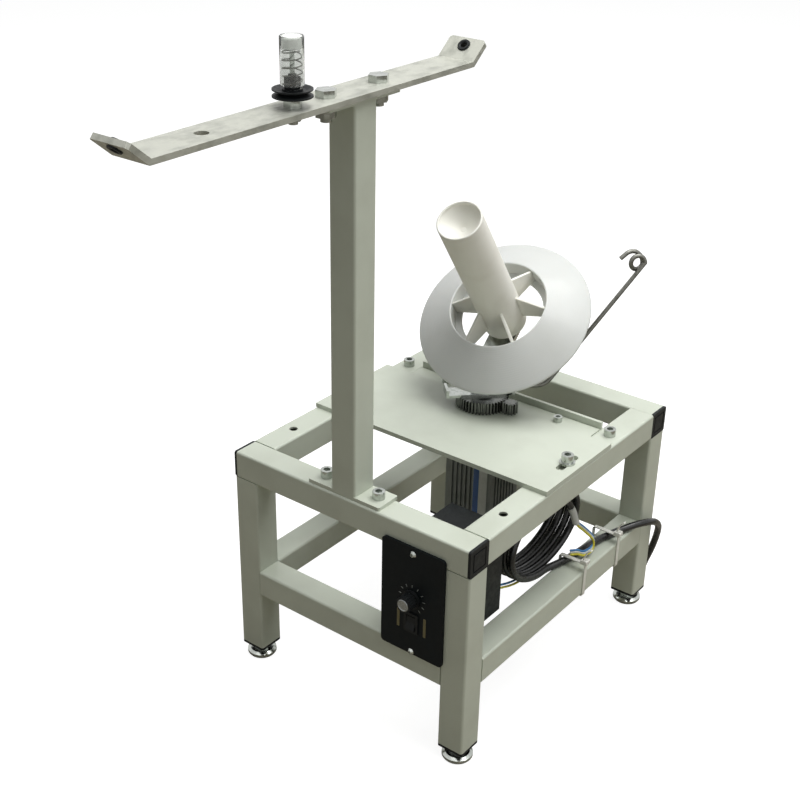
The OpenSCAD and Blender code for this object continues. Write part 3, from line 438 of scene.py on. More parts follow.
def to_mesh(piece: Object, spin_steps: int = 0) -> Object:
    """Turns a curve into a mesh with merged points and outward faces.

    Args:
        piece: The curve object.
        spin_steps: Faces round the local Z axis, for a profile that is turned about it.

    Returns:
        The mesh object.
    """
    pick(piece)
    bpy.ops.object.convert(target="MESH")
    piece = bpy.context.view_layer.objects.active
    bpy.ops.object.mode_set(mode="EDIT")
    bpy.ops.mesh.select_all(action="SELECT")
    if spin_steps:
        bpy.ops.mesh.spin(steps=spin_steps, angle=2 * math.pi, center=(0, 0, 0), axis=(0, 0, 1))
        bpy.ops.mesh.select_all(action="SELECT")
    bpy.ops.mesh.remove_doubles(threshold=MERGE)
    bpy.ops.mesh.normals_make_consistent(inside=False)
    bpy.ops.object.mode_set(mode="OBJECT")
    return piece


def rod(name: str, route: list[Point], radius: float, round_steps: int = 4) -> Object:
    """Makes a round rod along a route.

    Args:
        name: The piece's name.
        route: Points in mm.
        radius: Rod's radius in mm.
        round_steps: Fineness of the round section.

    Returns:
        The rod as a curve object.
    """
    piece = drawn(name, [route], closed=False)
    piece.data.bevel_depth = radius * MM
    piece.data.bevel_resolution = round_steps
    piece.data.use_fill_caps = True
    return piece


def bent_rod(name: str, route: list[Point], thick: float, round_steps: int) -> Object:
    """Makes a round rod of a diameter along a route as a smooth mesh."""
    return settle(to_mesh(rod(name, route, thick / 2, round_steps)), None, SHARP_ROD)


def sheet(name: str, outlines: list[list[Place]], thick: float, edge: float, place: Matrix) -> Object:
    """Cuts a plate with softened edges from flat outlines.

    Args:
        name: The piece's name.
        outlines: The outline, then any holes, as points in mm.
        thick: Thickness in mm, half to each side of the outline's plane.
        edge: Radius of the softened edge in mm.
        place: Where the outline's plane goes, in metres.

    Returns:
        The plate as a mesh.
    """
    piece = drawn(name, [[(x, y, 0.0) for x, y in line] for line in outlines], closed=True, flat=True)
    piece.data.fill_mode = "BOTH"
    piece.data.extrude = (thick / 2 - edge) * MM
    piece.data.bevel_depth = edge * MM
    piece.data.bevel_resolution = EDGE_STEPS
    piece.data.offset = -edge * MM
    return settle(to_mesh(piece), place, SHARP_PLATE)


def turned(name: str, profile: list[Place], steps: int, place: Matrix, closed: bool = True) -> Object:
    """Turns a profile of radius and height about the local Z axis of a place, in so many steps."""
    piece = drawn(name, [[(r, 0.0, z) for r, z in profile]], closed=closed)
    return settle(to_mesh(piece, steps), place, SHARP_TURNED)


def joined(name: str, pieces: list[Object]) -> Object:
    """Joins meshes into one piece.

    Args:
        name: Name of the result.
        pieces: The meshes.

    Returns:
        The one mesh.
    """
    pick(pieces[0])
    for piece in pieces[1:]:
        piece.select_set(True)
    bpy.ops.object.join()
    made = bpy.context.view_layer.objects.active
    made.name = name
    return made


def copied(piece: Object, name: str, place: Matrix) -> Object:
    """Copies a settled piece to another place.

    Args:
        piece: The piece to copy.
        name: The copy's name.
        place: Move from the first place to the copy's, in metres.

    Returns:
        The copy, with a mesh of its own.
    """
    made = piece.copy()
    made.data = piece.data.copy()
    made.name = name
    bpy.context.scene.collection.objects.link(made)
    return settle(made, place, SHARP_PLATE)


def arc(centre: Place, radius: float, start: float, end: float, steps: int) -> list[Place]:
    """Lists points of an arc from one angle in degrees to another."""
    angles = [math.radians(start + (end - start) * i / steps) for i in range(steps + 1)]
    return [(centre[0] + radius * math.cos(a), centre[1] + radius * math.sin(a)) for a in angles]


def round_box(low: Place, high: Place, radius: float) -> list[Place]:
    """Lists the outline of a rectangle with round corners.

    Args:
        low: Lower left corner, mm.
        high: Upper right corner, mm.
        radius: Corner radius, mm.

    Returns:
        The outline's points, mm.
    """
    (x0, y0), (x1, y1) = (low[0] + radius, low[1] + radius), (high[0] - radius, high[1] - radius)
    middles = ((x1, y0), (x1, y1), (x0, y1), (x0, y0))
    made: list[Place] = []
    for i, middle in enumerate(middles):
        made += arc(middle, radius, 90 * i - 90, 90 * i, CORNER_STEPS)
    return made


def smooth_route(route: list[Point], steps: int) -> list[Point]:
    """Runs a smooth line through the points of a route.

    Args:
        route: Points that the line goes through, mm.
        steps: New steps from each point to the next.

    Returns:
        The finer route, mm.
    """
    points = [Vector(p) for p in route]
    ends = [2 * points[0] - points[1], *points, 2 * points[-1] - points[-2]]
    made: list[Point] = []
    for a, b, c, d in zip(ends, ends[1:], ends[2:], ends[3:]):
        for i in range(steps):
            t = i / steps
            here = b + (c - a) * (t / 2) + (2 * a - 5 * b + 4 * c - d) * (t * t / 2)
            here = here + (3 * b - a - 3 * c + d) * (t**3 / 2)
            made.append(tuple(here))
    made.append(tuple(points[-1]))
    return made


def at(x: float, y: float, z: float) -> Matrix:
    """Gives a move to a point in mm."""
    return Matrix.Translation((x * MM, y * MM, z * MM))


def turn(degrees: float, axis: str) -> Matrix:
    """Gives a turn in degrees about X, Y or Z."""
    return Matrix.Rotation(math.radians(degrees), 4, axis)


def about(place: Matrix, degrees: float) -> Matrix:
    """Gives a turn in degrees about the local Z axis of a place."""
    return place @ turn(degrees, "Z") @ place.inverted()


def moved(points: Profile, across: float, up: float) -> list[Place]:
    """Moves the points of a flat line."""
    return [(x + across, y + up) for x, y in points]


def ring_of(first: Object, stem: str, place: Matrix, angles: list[float]) -> list[Object]:
    """Gives a piece and its copies, turned by angles in degrees about the local Z axis of a place."""
    return [first, *(copied(first, f"{stem}_{i}", about(place, a)) for i, a in enumerate(angles, 1))]


class Dresser:
    """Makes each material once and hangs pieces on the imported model."""

    def __init__(self, nodes: dict[str, Object]) -> None:
        """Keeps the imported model's nodes."""
        self.nodes = nodes
        self.made: dict[str, Material] = {}

    def material(self, finish: Finish) -> Material:
        """Gives a finish's material."""
        if finish.name not in self.made:
            self.made[finish.name] = finish.build()
        return self.made[finish.name]

    def paint(self, piece: Object, finish: Finish) -> None:
        """Puts one finish on a piece."""
        piece.data.materials.clear()
        piece.data.materials.append(self.material(finish))

    def dress_nodes(self) -> None:
        """Puts its finish on each node that keeps its own shape."""
        for slot, names in CAD_FINISH.items():
            for name in names:
                self.paint(self.nodes[name], FINISHES[slot])

    def hang(
        self, piece: Object, body: Body, finish: Finish, slot: Slot | None = None, stands_for: str = ""
    ) -> None:
        """Finishes a piece and lets it ride on a body.

        Args:
            piece: The piece, in its place.
            body: The body that it moves with.
            finish: Its finish.
            slot: Not used.
            stands_for: The node that it replaces.
        """
        self.paint(piece, finish)
        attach(piece, body.value)
        if stands_for:
            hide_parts(stands_for)
        LOG.info("%s rides on %s", piece.name, body.value)


def stand_facing(name: str, data: Any, where: Point, aim: Point, roll: float = 0.0) -> Object:
    """Puts a lamp or camera in the scene and points it.

    Args:
        name: Its name.
        data: The lamp or camera.
        where: Its place, metres.
        aim: What it faces, metres.
        roll: Degrees that its right side leans up.

    Returns:
        The object.
    """
    made = bpy.data.objects.new(name, data)
    bpy.context.scene.collection.objects.link(made)
    look = (Vector(aim) - Vector(where)).to_track_quat("-Z", "Y")
    made.location = where
    made.rotation_mode = "QUATERNION"
    made.rotation_quaternion = look @ Quaternion((0, 0, 1), math.radians(roll))
    return made


@dataclass
class Viewpoint:
    """The camera, fitted to the stand's corners."""

    eye: Point = (0.7114, -1.0392, 0.9382)  # Where it stands, metres
    aim: Point = (-0.0990, 0.0250, 0.2500)  # A point in the middle of the picture, metres
    lens: float = 59.67  # Focal length on a 36 mm frame
    roll: float = 1.085  # Degrees that its right side leans up

    def build(self) -> None:
        """Makes the camera and sets it in the scene."""
        data = bpy.data.cameras.new("viewpoint")
        data.lens = self.lens
        data.sensor_width = SENSOR
        camera = stand_facing("viewpoint", data, self.eye, self.aim, self.roll)
        bpy.context.scene.camera = camera


@dataclass
class Trim:
    """Pieces that are modelled here."""

    dresser: Dresser  # Hangs the pieces

    def build(self) -> None:
        """Makes the pieces."""
        raise NotImplementedError


@dataclass
class MainsLead(Trim):
    """The lead from the control box, coiled in the stand, and its plug."""

    thick: float = 8.0  # Sheath diameter
    # Points from the control box to the coil
    start: Route = (
        *((80, -85, 135), (80, -59, 135), (80.3, -40, 130.5)),
        *((81, -22, 126.6), (82.3, -8, 124.8)),
    )
    coil_from: Point = (83.0, 5.0, 124.4)  # Lowest point of the coil's first turn
    coil_ry: float = 68.0  # Half the length of a turn along the rail
    coil_rz: float = 44.0  # Half the height of a turn
    coil_step: float = 8.8  # Distance from turn to turn
    turns: int = 4  # Turns of the coil
    turn_steps: int = 24  # Points on a turn
    # Points from the coil to the plug
    end: Route = (
        *((121.5, 18, 124.4), (125, 32, 124.4), (127.5, 50, 124.4), (130, 70, 124.4)),
        *((133, 90, 124.4), (138, 110, 124.4), (145, 128, 125.5), (152, 142, 126.5)),
        *((158, 157, 125), (160, 174, 118), (158, 190, 104), (153, 199, 84)),
        *((147, 203, 62.2), (140, 206, 41.47), (133, 211, 22), (125, 220, 14), (117, 232, 13)),
    )
    plug_turn: float = 34.0  # Degrees that the plug points away from +Y
    plug_r: float = 13.0  # Radius of the plug's grip
    neck_wall: float = 1.5  # Wall of the plug's ribbed sleeve at its first rib
    ribs: int = 6
    rib_pitch: float = 3.6  # Distance from rib to rib
    rib_grow: float = 0.35  # How much wider each rib is than the one before it
    # Profile of a rib and its groove, out from the rib and up
    rib: Profile = ((0, 0.6), (0, 2.5), (-1.2, 2.8), (-1.2, 3.9))
    shoulder: Place = (2.0, 22.0)  # Where the grip begins, out from the first rib and up
    # Profile of the grip, out from its radius and up
    grip: Profile = ((-1.4, 28.5), (-0.3, 30), (0, 32), (-1.5, 41), (0, 50), (-0.4, 53.2), (-1.2, 54))
    # Profile of a pin, radius and height
    pin: Profile = ((0, 53), (2.4, 53), (2.4, 71), (2.0, 72.4), (1.2, 73), (0, 73))
    pin_out: float = 7.0  # Distance of a pin from the plug's axis

    def route(self) -> list[Point]:
        """Gives the lead's whole route.

        Returns:
            Points from the control box to the plug, mm.
        """
        x, y, z = self.coil_from
        coil: list[Point] = []
        for i in range(self.turns * self.turn_steps + 1):
            a = 2 * math.pi * i / self.turn_steps
            up = z + self.coil_rz * (1 - math.cos(a))
            coil.append((x + self.coil_step * i / self.turn_steps, y + self.coil_ry * math.sin(a), up))
        return smooth_route([*self.start, *coil, *self.end], steps=4)

    def build(self) -> None:
        """Makes the lead and its plug."""
        route = self.route()
        lead = rod("lead", route, self.thick / 2)
        hang = self.dresser.hang
        hang(lead, Body.FRAME, FINISHES[Slot.LEAD], Slot.LEAD, "mains_lead")
        place = at(*route[-1]) @ turn(self.plug_turn, "Z") @ turn(-90, "X")
        plug, pins = self.plug(place)
        hang(plug, Body.FRAME, FINISHES[Slot.LEAD], Slot.LEAD, "mains_plug")
        hang(pins, Body.FRAME, PIN_BRASS, None, "mains_plug")

    def plug(self, place: Matrix) -> tuple[Object, Object]:
        """Makes the plug: a ribbed sleeve, a grip with a waist, and two pins.

        Args:
            place: The plug's back end, its axis along local Z.

        Returns:
            The body and the pins.
        """
        neck = self.thick / 2 + self.neck_wall
        profile: list[Place] = [(0, 0), (neck - self.rib[0][1], 0)]
        for i in range(self.ribs):
            profile += moved(self.rib, neck + self.rib_grow * i, self.rib_pitch * i)
        profile += moved((self.shoulder,), neck, 0)
        profile += moved(self.grip, self.plug_r, 0)
        profile.append((0, self.grip[-1][1]))
        body = turned("plug_grip", profile, steps=48, place=place, closed=False)
        pins = []
        for out, name in ((-self.pin_out, "left"), (self.pin_out, "right")):
            beside = place @ at(out, 0, 0)
            pins.append(turned(f"plug_pin_{name}", list(self.pin), steps=24, place=beside, closed=False))
        return body, joined("plug_pins", pins)


@dataclass
class YarnBobbin(Trim):
    """The bobbin: a tube with fins, and the flange that the fins carry."""

    core_r: float = 24.0  # Tube's outer radius
    core_wall: float = 2.4  # Tube's wall
    core_top: float = 112.0  # Height of the tube's end along its axis
    recess: float = 16.0  # Depth of the recess in that end
    foot: float = -75.0  # Height of the tube's lower end
    floor: float = -63.0  # Height of the flange's underside and of the lower web
    mouth_r: float = 53.0  # Inner radius of the flange
    mouth_z: float = -41.0  # Height of the flange's inner edge
    lip: float = 7.0  # Width of the lip that the fins stand on
    rim_r: float = 97.0  # Outer radius of the flange
    rim_z: float = -68.0  # Height of the flange's rim
    wall: float = 2.5  # Thickness of the flange
    fins: int = 6
    fin_turn: float = 12.0  # Place of the first fin round the axis, degrees
    fin_rise: float = 14.0  # Height of the fins on the tube over the mouth
    fin_t: float = 3.0  # Thickness of a fin
    fin_drop: float = 3.0  # How far a fin's outer edge ends under the mouth
    fin_bite: float = 0.05  # How far a fin runs short of the mouth's radius
    # Profile of a fin's top, out from the tube and up from the fin's own height
    fin_top: Profile = ((3, -1), (1.5, 0), (0, 0))
    bore_r: float = 9.0  # Radius of the hole for the spindle and bushes
    # Profile of the recess's middle, radius and height over its floor
    boss: Profile = ((0, 0), (3.2, 0), (3.6, 0.4))
    # Profile of the recess's step, out from the tube's inside and up from its floor
    cone: Profile = ((-5.4, 6.0), (-4.6, 7.2))
    # Profile of the recess's edge, out from the tube's inside and up from the tube's end
    throat: Profile = ((-0.6, -4.4), (0, -3.6))
    web: float = 2.0  # Thickness of the recess's floor
    chamfer: float = 0.8  # Chamfer of the tube's foot
    bead: float = 2.0  # Radius of the bead along the rim
    bead_drop: Place = (0.6, 1.8)  # How far the bead's middle and its foot lie under the rim
    bead_in: float = 1.5  # How far the bead's foot lies inside the bead
    edge: float = 0.6  # Chamfer of the lip and radius of a fin's softened edge
    # Profile of the flange's underside at the mouth, out from its wall and up
    hem: Profile = ((2, -1.6), (0, -3))

    def build(self) -> None:
        """Makes the bobbin's tube, fins and flange."""
        hang = self.dresser.hang
        place = at(*BOBBIN_CENTRE) @ turn(BOBBIN_LEAN[1], "Z") @ turn(BOBBIN_LEAN[0], "X")
        hang(self.tube(place), Body.BOBBIN, CREAM_MOULDING, Slot.BOBBIN, "bobbin_core")
        hang(self.fin_ring(place), Body.BOBBIN, CREAM_MOULDING, Slot.BOBBIN, "bobbin_fins")
        hang(self.flange(place), Body.BOBBIN, FINISHES[Slot.BOBBIN], Slot.BOBBIN, "bobbin_flange")

    def tube(self, place: Matrix) -> Object:
        """Makes the tube with its rounded lip and the dished recess in its end."""
        inner = self.core_r - self.core_wall
        lip = self.core_wall / 2
        low = self.core_top - self.recess
        under = low - self.web
        profile = moved(self.boss, 0, low)
        profile += moved(self.cone, inner, low)
        profile += moved(self.throat, inner, self.core_top)
        profile += arc((self.core_r - lip, self.core_top - lip), lip, 180, 0, steps=8)
        profile += [(self.core_r, self.foot + self.chamfer), (self.core_r - self.chamfer, self.foot)]
        profile += [(inner, self.foot), (inner, self.floor)]
        profile += [(self.bore_r, self.floor), (self.bore_r, under), (0, under)]
        return turned("bobbin_tube", profile, steps=96, place=place, closed=False)

    def flange(self, place: Matrix) -> Object:
        """Makes the flange with a rounded mouth, a bead along its rim and the lip under the fins."""
        outer = self.mouth_r + self.wall
        slope = math.degrees(math.atan2(self.rim_z - self.mouth_z, self.rim_r - outer))
        half = self.wall / 2
        seat = self.floor + self.wall
        inner = self.mouth_r - self.lip
        bead_r = self.rim_r - self.bead
        middle, foot = self.bead_drop
        profile = [(inner, seat - self.edge), (inner + self.edge, seat), (self.mouth_r, seat)]
        profile += arc((self.mouth_r + half, self.mouth_z - half), half, 180, 90 + slope, steps=6)
        profile += arc((bead_r, self.rim_z - middle), self.bead, 90 + slope, -90, steps=8)
        profile.append((bead_r - self.bead_in, self.rim_z - foot))
        profile += moved(self.hem, outer, self.mouth_z - 2 * self.wall)
        profile += [(outer, self.floor), (inner, self.floor)]
        return turned("bobbin_dish", profile, steps=128, place=place)

    def fin_ring(self, place: Matrix) -> Object:
        """Makes the fins between the tube and the flange.

        Args:
            place: The bobbin's own place.

        Returns:
            One mesh with all the fins.
        """
        foot = self.mouth_r - self.fin_bite
        seat = self.floor + self.wall
        head = self.mouth_z + self.fin_rise
        outline = [(self.core_r, seat), (foot, seat), (foot, self.mouth_z - self.fin_drop)]
        outline += moved(self.fin_top, self.core_r, head)
        stand = place @ turn(self.fin_turn, "Z") @ turn(90, "X")
        first = sheet("bobbin_fin_0", [outline], self.fin_t, self.edge, stand)
        angles = [360 * i / self.fins for i in range(1, self.fins)]
        return joined("bobbin_fin_ring", ring_of(first, "bobbin_fin", place, angles))


@dataclass
class WireGuide(Trim):
    """The bent wire that carries the yarn round the bobbin."""

    thick: float = 5.0  # Wire diameter
    start: Point = (6.893, 68.387, 283.5)  # End that lies on the flat bar
    corner: Point = (41.8, 104.3, 283.5)  # Where it bends up
    eye: Point = (95.8, 208.4, 410.6)  # Where the open eye begins
    eye_r: float = 9.0  # Radius of the eye
    eye_turn: int = 490  # Angle that the eye winds through, degrees
    eye_step: int = 10  # Angle from point to point of the eye, degrees
    eye_shrink: int = 1400  # Angle in which the eye would wind itself to nothing, degrees
    eye_gap: float = 1.0  # Gap from the eye's first turn to its second
    spread: float = 0.72  # How far the eye's second turn opens, as a share of its radius
    spread_from: int = 320  # Angle at which it begins to open, degrees
    spread_over: int = 110  # Angle that it takes to open, degrees
    tail: float = 7.0  # Length of the straight free end past the eye
    bend: float = 10.0  # Distance from the corner at which the bend begins
    bend_steps: int = 12  # Steps of the bend

    def build(self) -> None:
        """Makes the wire."""
        start, corner, eye = Vector(self.start), Vector(self.corner), Vector(self.eye)
        rise = (eye - corner).normalized()
        lead = (corner - start).normalized()
        route = [start]
        for i in range(self.bend_steps + 1):
            t = i / self.bend_steps
            route.append(corner - lead * (self.bend * (1 - t) ** 2) + rise * (self.bend * t * t))
        side = Vector((BOBBIN_CENTRE[0] - eye.x, BOBBIN_CENTRE[1] - eye.y, 0)).normalized()
        over = (rise - side * rise.dot(side)).normalized()
        drift = side.cross(over)
        for i in range(0, self.eye_turn + 1, self.eye_step):
            a = math.radians(i)
            loop = side * (1 - math.cos(a)) + over * math.sin(a)
            opened = self.spread * min(max(i - self.spread_from, 0) / self.spread_over, 1)
            wide = self.eye_r * (1 + opened - i / self.eye_shrink)
            route.append(eye + loop * wide + drift * ((self.thick + self.eye_gap) * i / 360))
        route.append(route[-1] + (route[-1] - route[-2]).normalized() * self.tail)
        wire = bent_rod("wire_guide", [tuple(p) for p in route], self.thick, round_steps=5)
        self.dresser.hang(wire, Body.FLYER, DULL_WIRE, Slot.ZINC, "flyer_wire")


@dataclass
class Tensioner(Trim):
    """The tensioner's spring, clear sleeve and white plug."""

    foot: Point = (-5.0, -249.0, 657.0)  # Point on the bar's top where its axis stands
    spring_r: float = 8.0  # Radius of the spring's middle line
    spring_wire: float = 1.0  # Diameter of its wire
    spring_low: float = 15.3  # Height of its first turn over the bar
    spring_rise: float = 30.3  # Height from its first to its last turn
    turns: int = 5  # Its turns
    turn_steps: int = 32  # Points on a turn
    sleeve_r: float = 10.0  # Outer radius of the sleeve
    sleeve_wall: float = 1.2  # Wall of the sleeve
    sleeve_low: float = 17.3  # Height of the sleeve's open end
    sleeve_high: float = 56.7  # Height of its closed end
    plug_h: float = 10.0  # Height of the plug in its closed end
    plug_gap: float = 0.05  # Gap from the plug to the sleeve
    plug_roof: float = 2.0  # Distance from the sleeve's closed end to the end of the rod's hole
    plug_edge: float = 0.6  # Chamfer of the plug's lower edge
    # Profile of its upper end, out from its radius and up from the sleeve's end
    plug_top: Profile = ((0, -1.4), (-0.5, -0.7), (-1.2, -0.4))
    rod_r: float = 2.3  # Radius of the hole for the rod

    def build(self) -> None:
        """Makes the spring, the sleeve and the plug."""
        x, y, z = self.foot
        first = z + self.spring_low
        route: list[Point] = []
        for i in range(self.turns * self.turn_steps + 1):
            a = 2 * math.pi * i / self.turn_steps
            up = first + self.spring_rise * i / self.turns / self.turn_steps
            route.append((x + self.spring_r * math.cos(a), y + self.spring_r * math.sin(a), up))
        spring = bent_rod("spring_wire", route, self.spring_wire, round_steps=3)
        self.dresser.paint(spring, DULL_WIRE)
        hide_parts("tension_spring")
        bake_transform(spring)
        place = at(x, y, z)
        tube = turned("sleeve_tube", self.tube_profile(), steps=64, place=place)
        self.dresser.hang(tube, Body.SLEEVE, FINISHES[Slot.SLEEVE], Slot.SLEEVE, "tension_sleeve")
        plug = turned("sleeve_plug", self.plug_profile(), steps=64, place=place)
        self.dresser.hang(plug, Body.SLEEVE, FROSTED, None, "tension_sleeve")

    def tube_profile(self) -> list[Place]:
        """Gives the sleeve's wall with rounded ends, as radius and height."""
        half = self.sleeve_wall / 2
        middle = self.sleeve_r - half
        ends = arc((middle, self.sleeve_low + half), half, 180, 360, steps=6)
        return ends + arc((middle, self.sleeve_high - half), half, 0, 180, steps=6)

    def plug_profile(self) -> list[Place]:
        """Gives the plug inside the sleeve's closed end, blind from below, as radius and height."""
        r = self.sleeve_r - self.sleeve_wall - self.plug_gap
        low = self.sleeve_high - self.plug_h
        blind = self.sleeve_high - self.plug_roof
        profile = [(0, blind), (self.rod_r, blind), (self.rod_r, low)]
        profile += [(r - self.plug_edge, low), (r, low + self.plug_edge)]
        profile += moved(self.plug_top, r, self.sleeve_high)
        return [*profile, (0, profile[-1][1])]


@dataclass
class NylonTies(Trim):
    """Two nylon ties that hold the lead to the lower rail."""

    low: Place = (119.7, 89.7)  # Lower left corner of what a tie goes round, across and up
    high: Place = (150.3, 129.7)  # Upper right corner
    thick: float = 1.2  # Strap thickness
    width: float = 5.0  # Strap width
    rounds: Place = (3.0, 1.8)  # Outer and inner radius of the strap's corners
    head_low: Place = (-4.5, 0.2)  # Lower left corner of the head, from the upper right corner
    head_high: Place = (3.5, 5.2)  # Upper right corner of the head, from there too
    head_round: float = 1.0  # Radius of the head's corners
    head_wider: float = 3.0  # How much wider the head is than the strap
    # Points of the free end's one side, from the upper right corner
    tail: Profile = ((-2, 5), (-1.6, 9), (-0.2, 13), (2.4, 17), (5.6, 20))
    tail_t: Place = (1.1, -0.5)  # Step from there to its other side
    tail_narrower: float = 0.6  # How much narrower the free end is than the strap
    edges: Point = (0.3, 0.5, 0.2)  # Radii of the softened edges of strap, head and free end
    places: Place = (33.0, 105.0)  # Where the ties sit along the rail

    def build(self) -> None:
        """Makes one tie with its head and tail, and copies it."""
        (x0, z0), (x1, z1) = self.low, self.high
        t = self.thick
        outer = round_box((x0 - t, z0 - t), (x1 + t, z1 + t), self.rounds[0])
        inner = round_box(self.low, self.high, self.rounds[1])
        stand = at(0, self.places[0], 0) @ turn(90, "X")
        strap = sheet("tie_strap", [outer, inner], self.width, self.edges[0], stand)
        low, high = moved((self.head_low, self.head_high), x1, z1)
        box = round_box(low, high, self.head_round)
        head = sheet("tie_head", [box], self.width + self.head_wider, self.edges[1], stand)
        bend = moved(self.tail, x1, z1)
        back = moved(tuple(reversed(bend)), *self.tail_t)
        tail = sheet("tie_tail", [[*bend, *back]], self.width - self.tail_narrower, self.edges[2], stand)
        first = joined("nylon_tie_0", [strap, head, tail])
        second = copied(first, "nylon_tie_1", at(0, self.places[1] - self.places[0], 0))
        for tie in (first, second):
            self.dresser.hang(tie, Body.FRAME, FINISHES[Slot.NYLON], Slot.NYLON, "cable_ties")


@dataclass
class PanelTrim(Trim):
    """Print on the control panel and the bright end of its knob."""

    middle: Point = (86.0, -193.0, 177.0)  # Middle of the panel's front face
    knob_up: float = 4.0  # Height of the knob over the middle
    rocker_up: float = -24.0  # Height of the rocker over the middle
    knob_out: float = 14.3  # How far the knob stands out
    # Profile of the knob's bright end, radius and height
    cap: Profile = (
        *((0, -0.2), (6.4, -0.2), (6.4, 0.3), (6.1, 0.6)),
        *((5.2, 0.7), (4.9, 0.4), (2.0, 0.15), (0, 0.1)),
    )
    dial_r: Place = (13.0, 16.0)  # Inner and outer radius of the marks
    mark_half: float = 0.35  # Half the width of a mark
    mark_round: float = 0.2  # Radius of a mark's corners
    marks: int = 11  # Number of marks on the dial
    sweep: float = 280.0  # Degrees that the dial covers
    stripe_out: float = 16.0  # Distance of a stripe from the middle
    stripe_half: Place = (1.6, 11.0)  # Half the width and half the height of a stripe
    stripe_round: float = 0.8  # Radius of a stripe's corners
    print_t: float = 0.2  # Thickness of the print
    print_edge: float = 0.04  # Radius of its softened edge

    def build(self) -> None:
        """Makes the dial's marks, the stripes and the knob's end."""
        hang = self.dresser.hang
        x, y, z = self.middle
        face = at(x, y - self.print_t / 2, z) @ turn(90, "X")
        dial = face @ at(0, self.knob_up, 0)
        r0, r1 = self.dial_r
        box = round_box((-self.mark_half, r0), (self.mark_half, r1), self.mark_round)
        first = sheet("dial_mark_0", [box], self.print_t, self.print_edge, dial)
        angles = [-self.sweep * i / (self.marks - 1) for i in range(1, self.marks)]
        print_piece = joined("dial_marks", ring_of(first, "dial_mark", dial, angles))
        hang(settle(print_piece, about(dial, self.sweep / 2)), Body.FRAME, MARK_PRINT)
        wide, high = self.stripe_half
        for out, name in ((-self.stripe_out, "left"), (self.stripe_out, "right")):
            low, top = moved(((-wide, -high), (wide, high)), out, self.rocker_up)
            box = round_box(low, top, self.stripe_round)
            stripe = sheet(f"stripe_{name}", [box], self.print_t, self.print_edge, face)
            hang(stripe, Body.FRAME, STRIPE_PRINT)
        end = at(x, y - self.knob_out, z + self.knob_up) @ turn(90, "X")
        cap = turned("knob_end", list(self.cap), steps=48, place=end, closed=False)
        hang(cap, Body.KNOB, SPUN_CAP)


@dataclass
class MotorPlate(Trim):
    """A blank label with a band, on the motor's front face beside its corner."""

    corner: Point = (19.0, 5.0, 150.0)  # Lower left corner on that face
    size: Place = (18.0, 66.0)  # Width and height
    band: float = 7.5  # Width of the band along its left edge
    margin: float = 0.3  # Distance from the label's edge to the band
    thick: float = 0.4
    rounds: Place = (1.2, 0.9)  # Radii of the corners of label and band
    edges: Place = (0.08, 0.05)  # Radii of the softened edges of label and band

    def build(self) -> None:
        """Makes the plate and its band."""
        x, y, z = self.corner
        half = self.thick / 2
        face = at(x, y - half, z) @ turn(90, "X")
        box = round_box((0, 0), self.size, self.rounds[0])
        plate = sheet("motor_label", [box], self.thick, self.edges[0], face)
        self.dresser.hang(plate, Body.FRAME, LABEL_WHITE)
        low, high = (self.margin, self.margin), (self.band, self.size[1] - self.margin)
        box = round_box(low, high, self.rounds[1])
        band = sheet("motor_label_band", [box], half, self.edges[1], at(0, -half, 0) @ face)
        self.dresser.hang(band, Body.FRAME, LABEL_BLUE)


@dataclass
class LooseCores(Trim):
    """Loose cores of wire: two from the control box into the coil, and three from a stripped cable end."""

    thick: float = 2.4  # Core diameter
    # Points of the first of the two cores
    pair: Route = (
        *((106, -86, 142), (107, -74, 140.5), (108.2, -56, 134.5)),
        *((108.6, -42, 131), (108.6, -30, 130)),
    )
    pair_step: Point = (2.2, 0.6, -2.6)  # Step from the first of them to the second
    sheath_thick: float = 7.0  # Diameter of the stripped cable's sheath
    # Points of the sheathed end
    sheath: Route = (
        *((113.5, -4, 212), (117, 16, 210), (122, 31, 199)),
        *((125.5, 40, 184), (126.5, 44, 173)),
    )
    sleeve_thick: float = 8.0  # Diameter of the pale sleeve over the sheath's end
    # Points of that sleeve
    sleeve: Route = ((124.6, 37, 189.5), (125.8, 41, 181.5), (126.6, 44.5, 172), (127.2, 47, 166))
    # Points of the first of the three cores
    three: Route = (
        *((126.3, 43.5, 174), (128, 49, 162), (132.5, 61, 149), (138, 70, 136)),
        *((140.5, 65, 127.5), (138.5, 52, 126), (134.5, 43, 130.5), (129.5, 36, 131.2)),
    )
    three_step: Point = (-1.3, 1.6, 1.4)  # Step from one of them to the next

    def build(self) -> None:
        """Makes the pair, the stripped end with its sleeve, and the three cores."""
        for i, finish in enumerate((CORE_BLUE, CORE_YELLOW)):
            self.core(finish.name, self.pair, Vector(self.pair_step) * i, finish)
        line = smooth_route(list(self.sheath), steps=6)
        sheath = bent_rod("stripped_sheath", line, self.sheath_thick, round_steps=4)
        self.dresser.hang(sheath, Body.FRAME, FINISHES[Slot.LEAD])
        line = smooth_route(list(self.sleeve), steps=4)
        sleeve = bent_rod("stripped_sleeve", line, self.sleeve_thick, round_steps=4)
        self.dresser.hang(sleeve, Body.FRAME, LABEL_WHITE)
        for i, finish in enumerate((CORE_YELLOW, LABEL_WHITE, CORE_BLUE)):
            self.core(f"stripped_core_{i}", self.three, Vector(self.three_step) * i, finish)

    def core(self, name: str, route: Route, beside: Vector, finish: Finish) -> None:
        """Makes one core.

        Args:
            name: The piece's name.
            route: Points of the bundle's first core, mm.
            beside: Step from the first core to this one, mm.
            finish: Its finish.
        """
        line = [tuple(Vector(p) + beside) for p in route]
        made = bent_rod(name, smooth_route(line, steps=6), self.thick, round_steps=3)
        self.dresser.hang(made, Body.FRAME, finish)


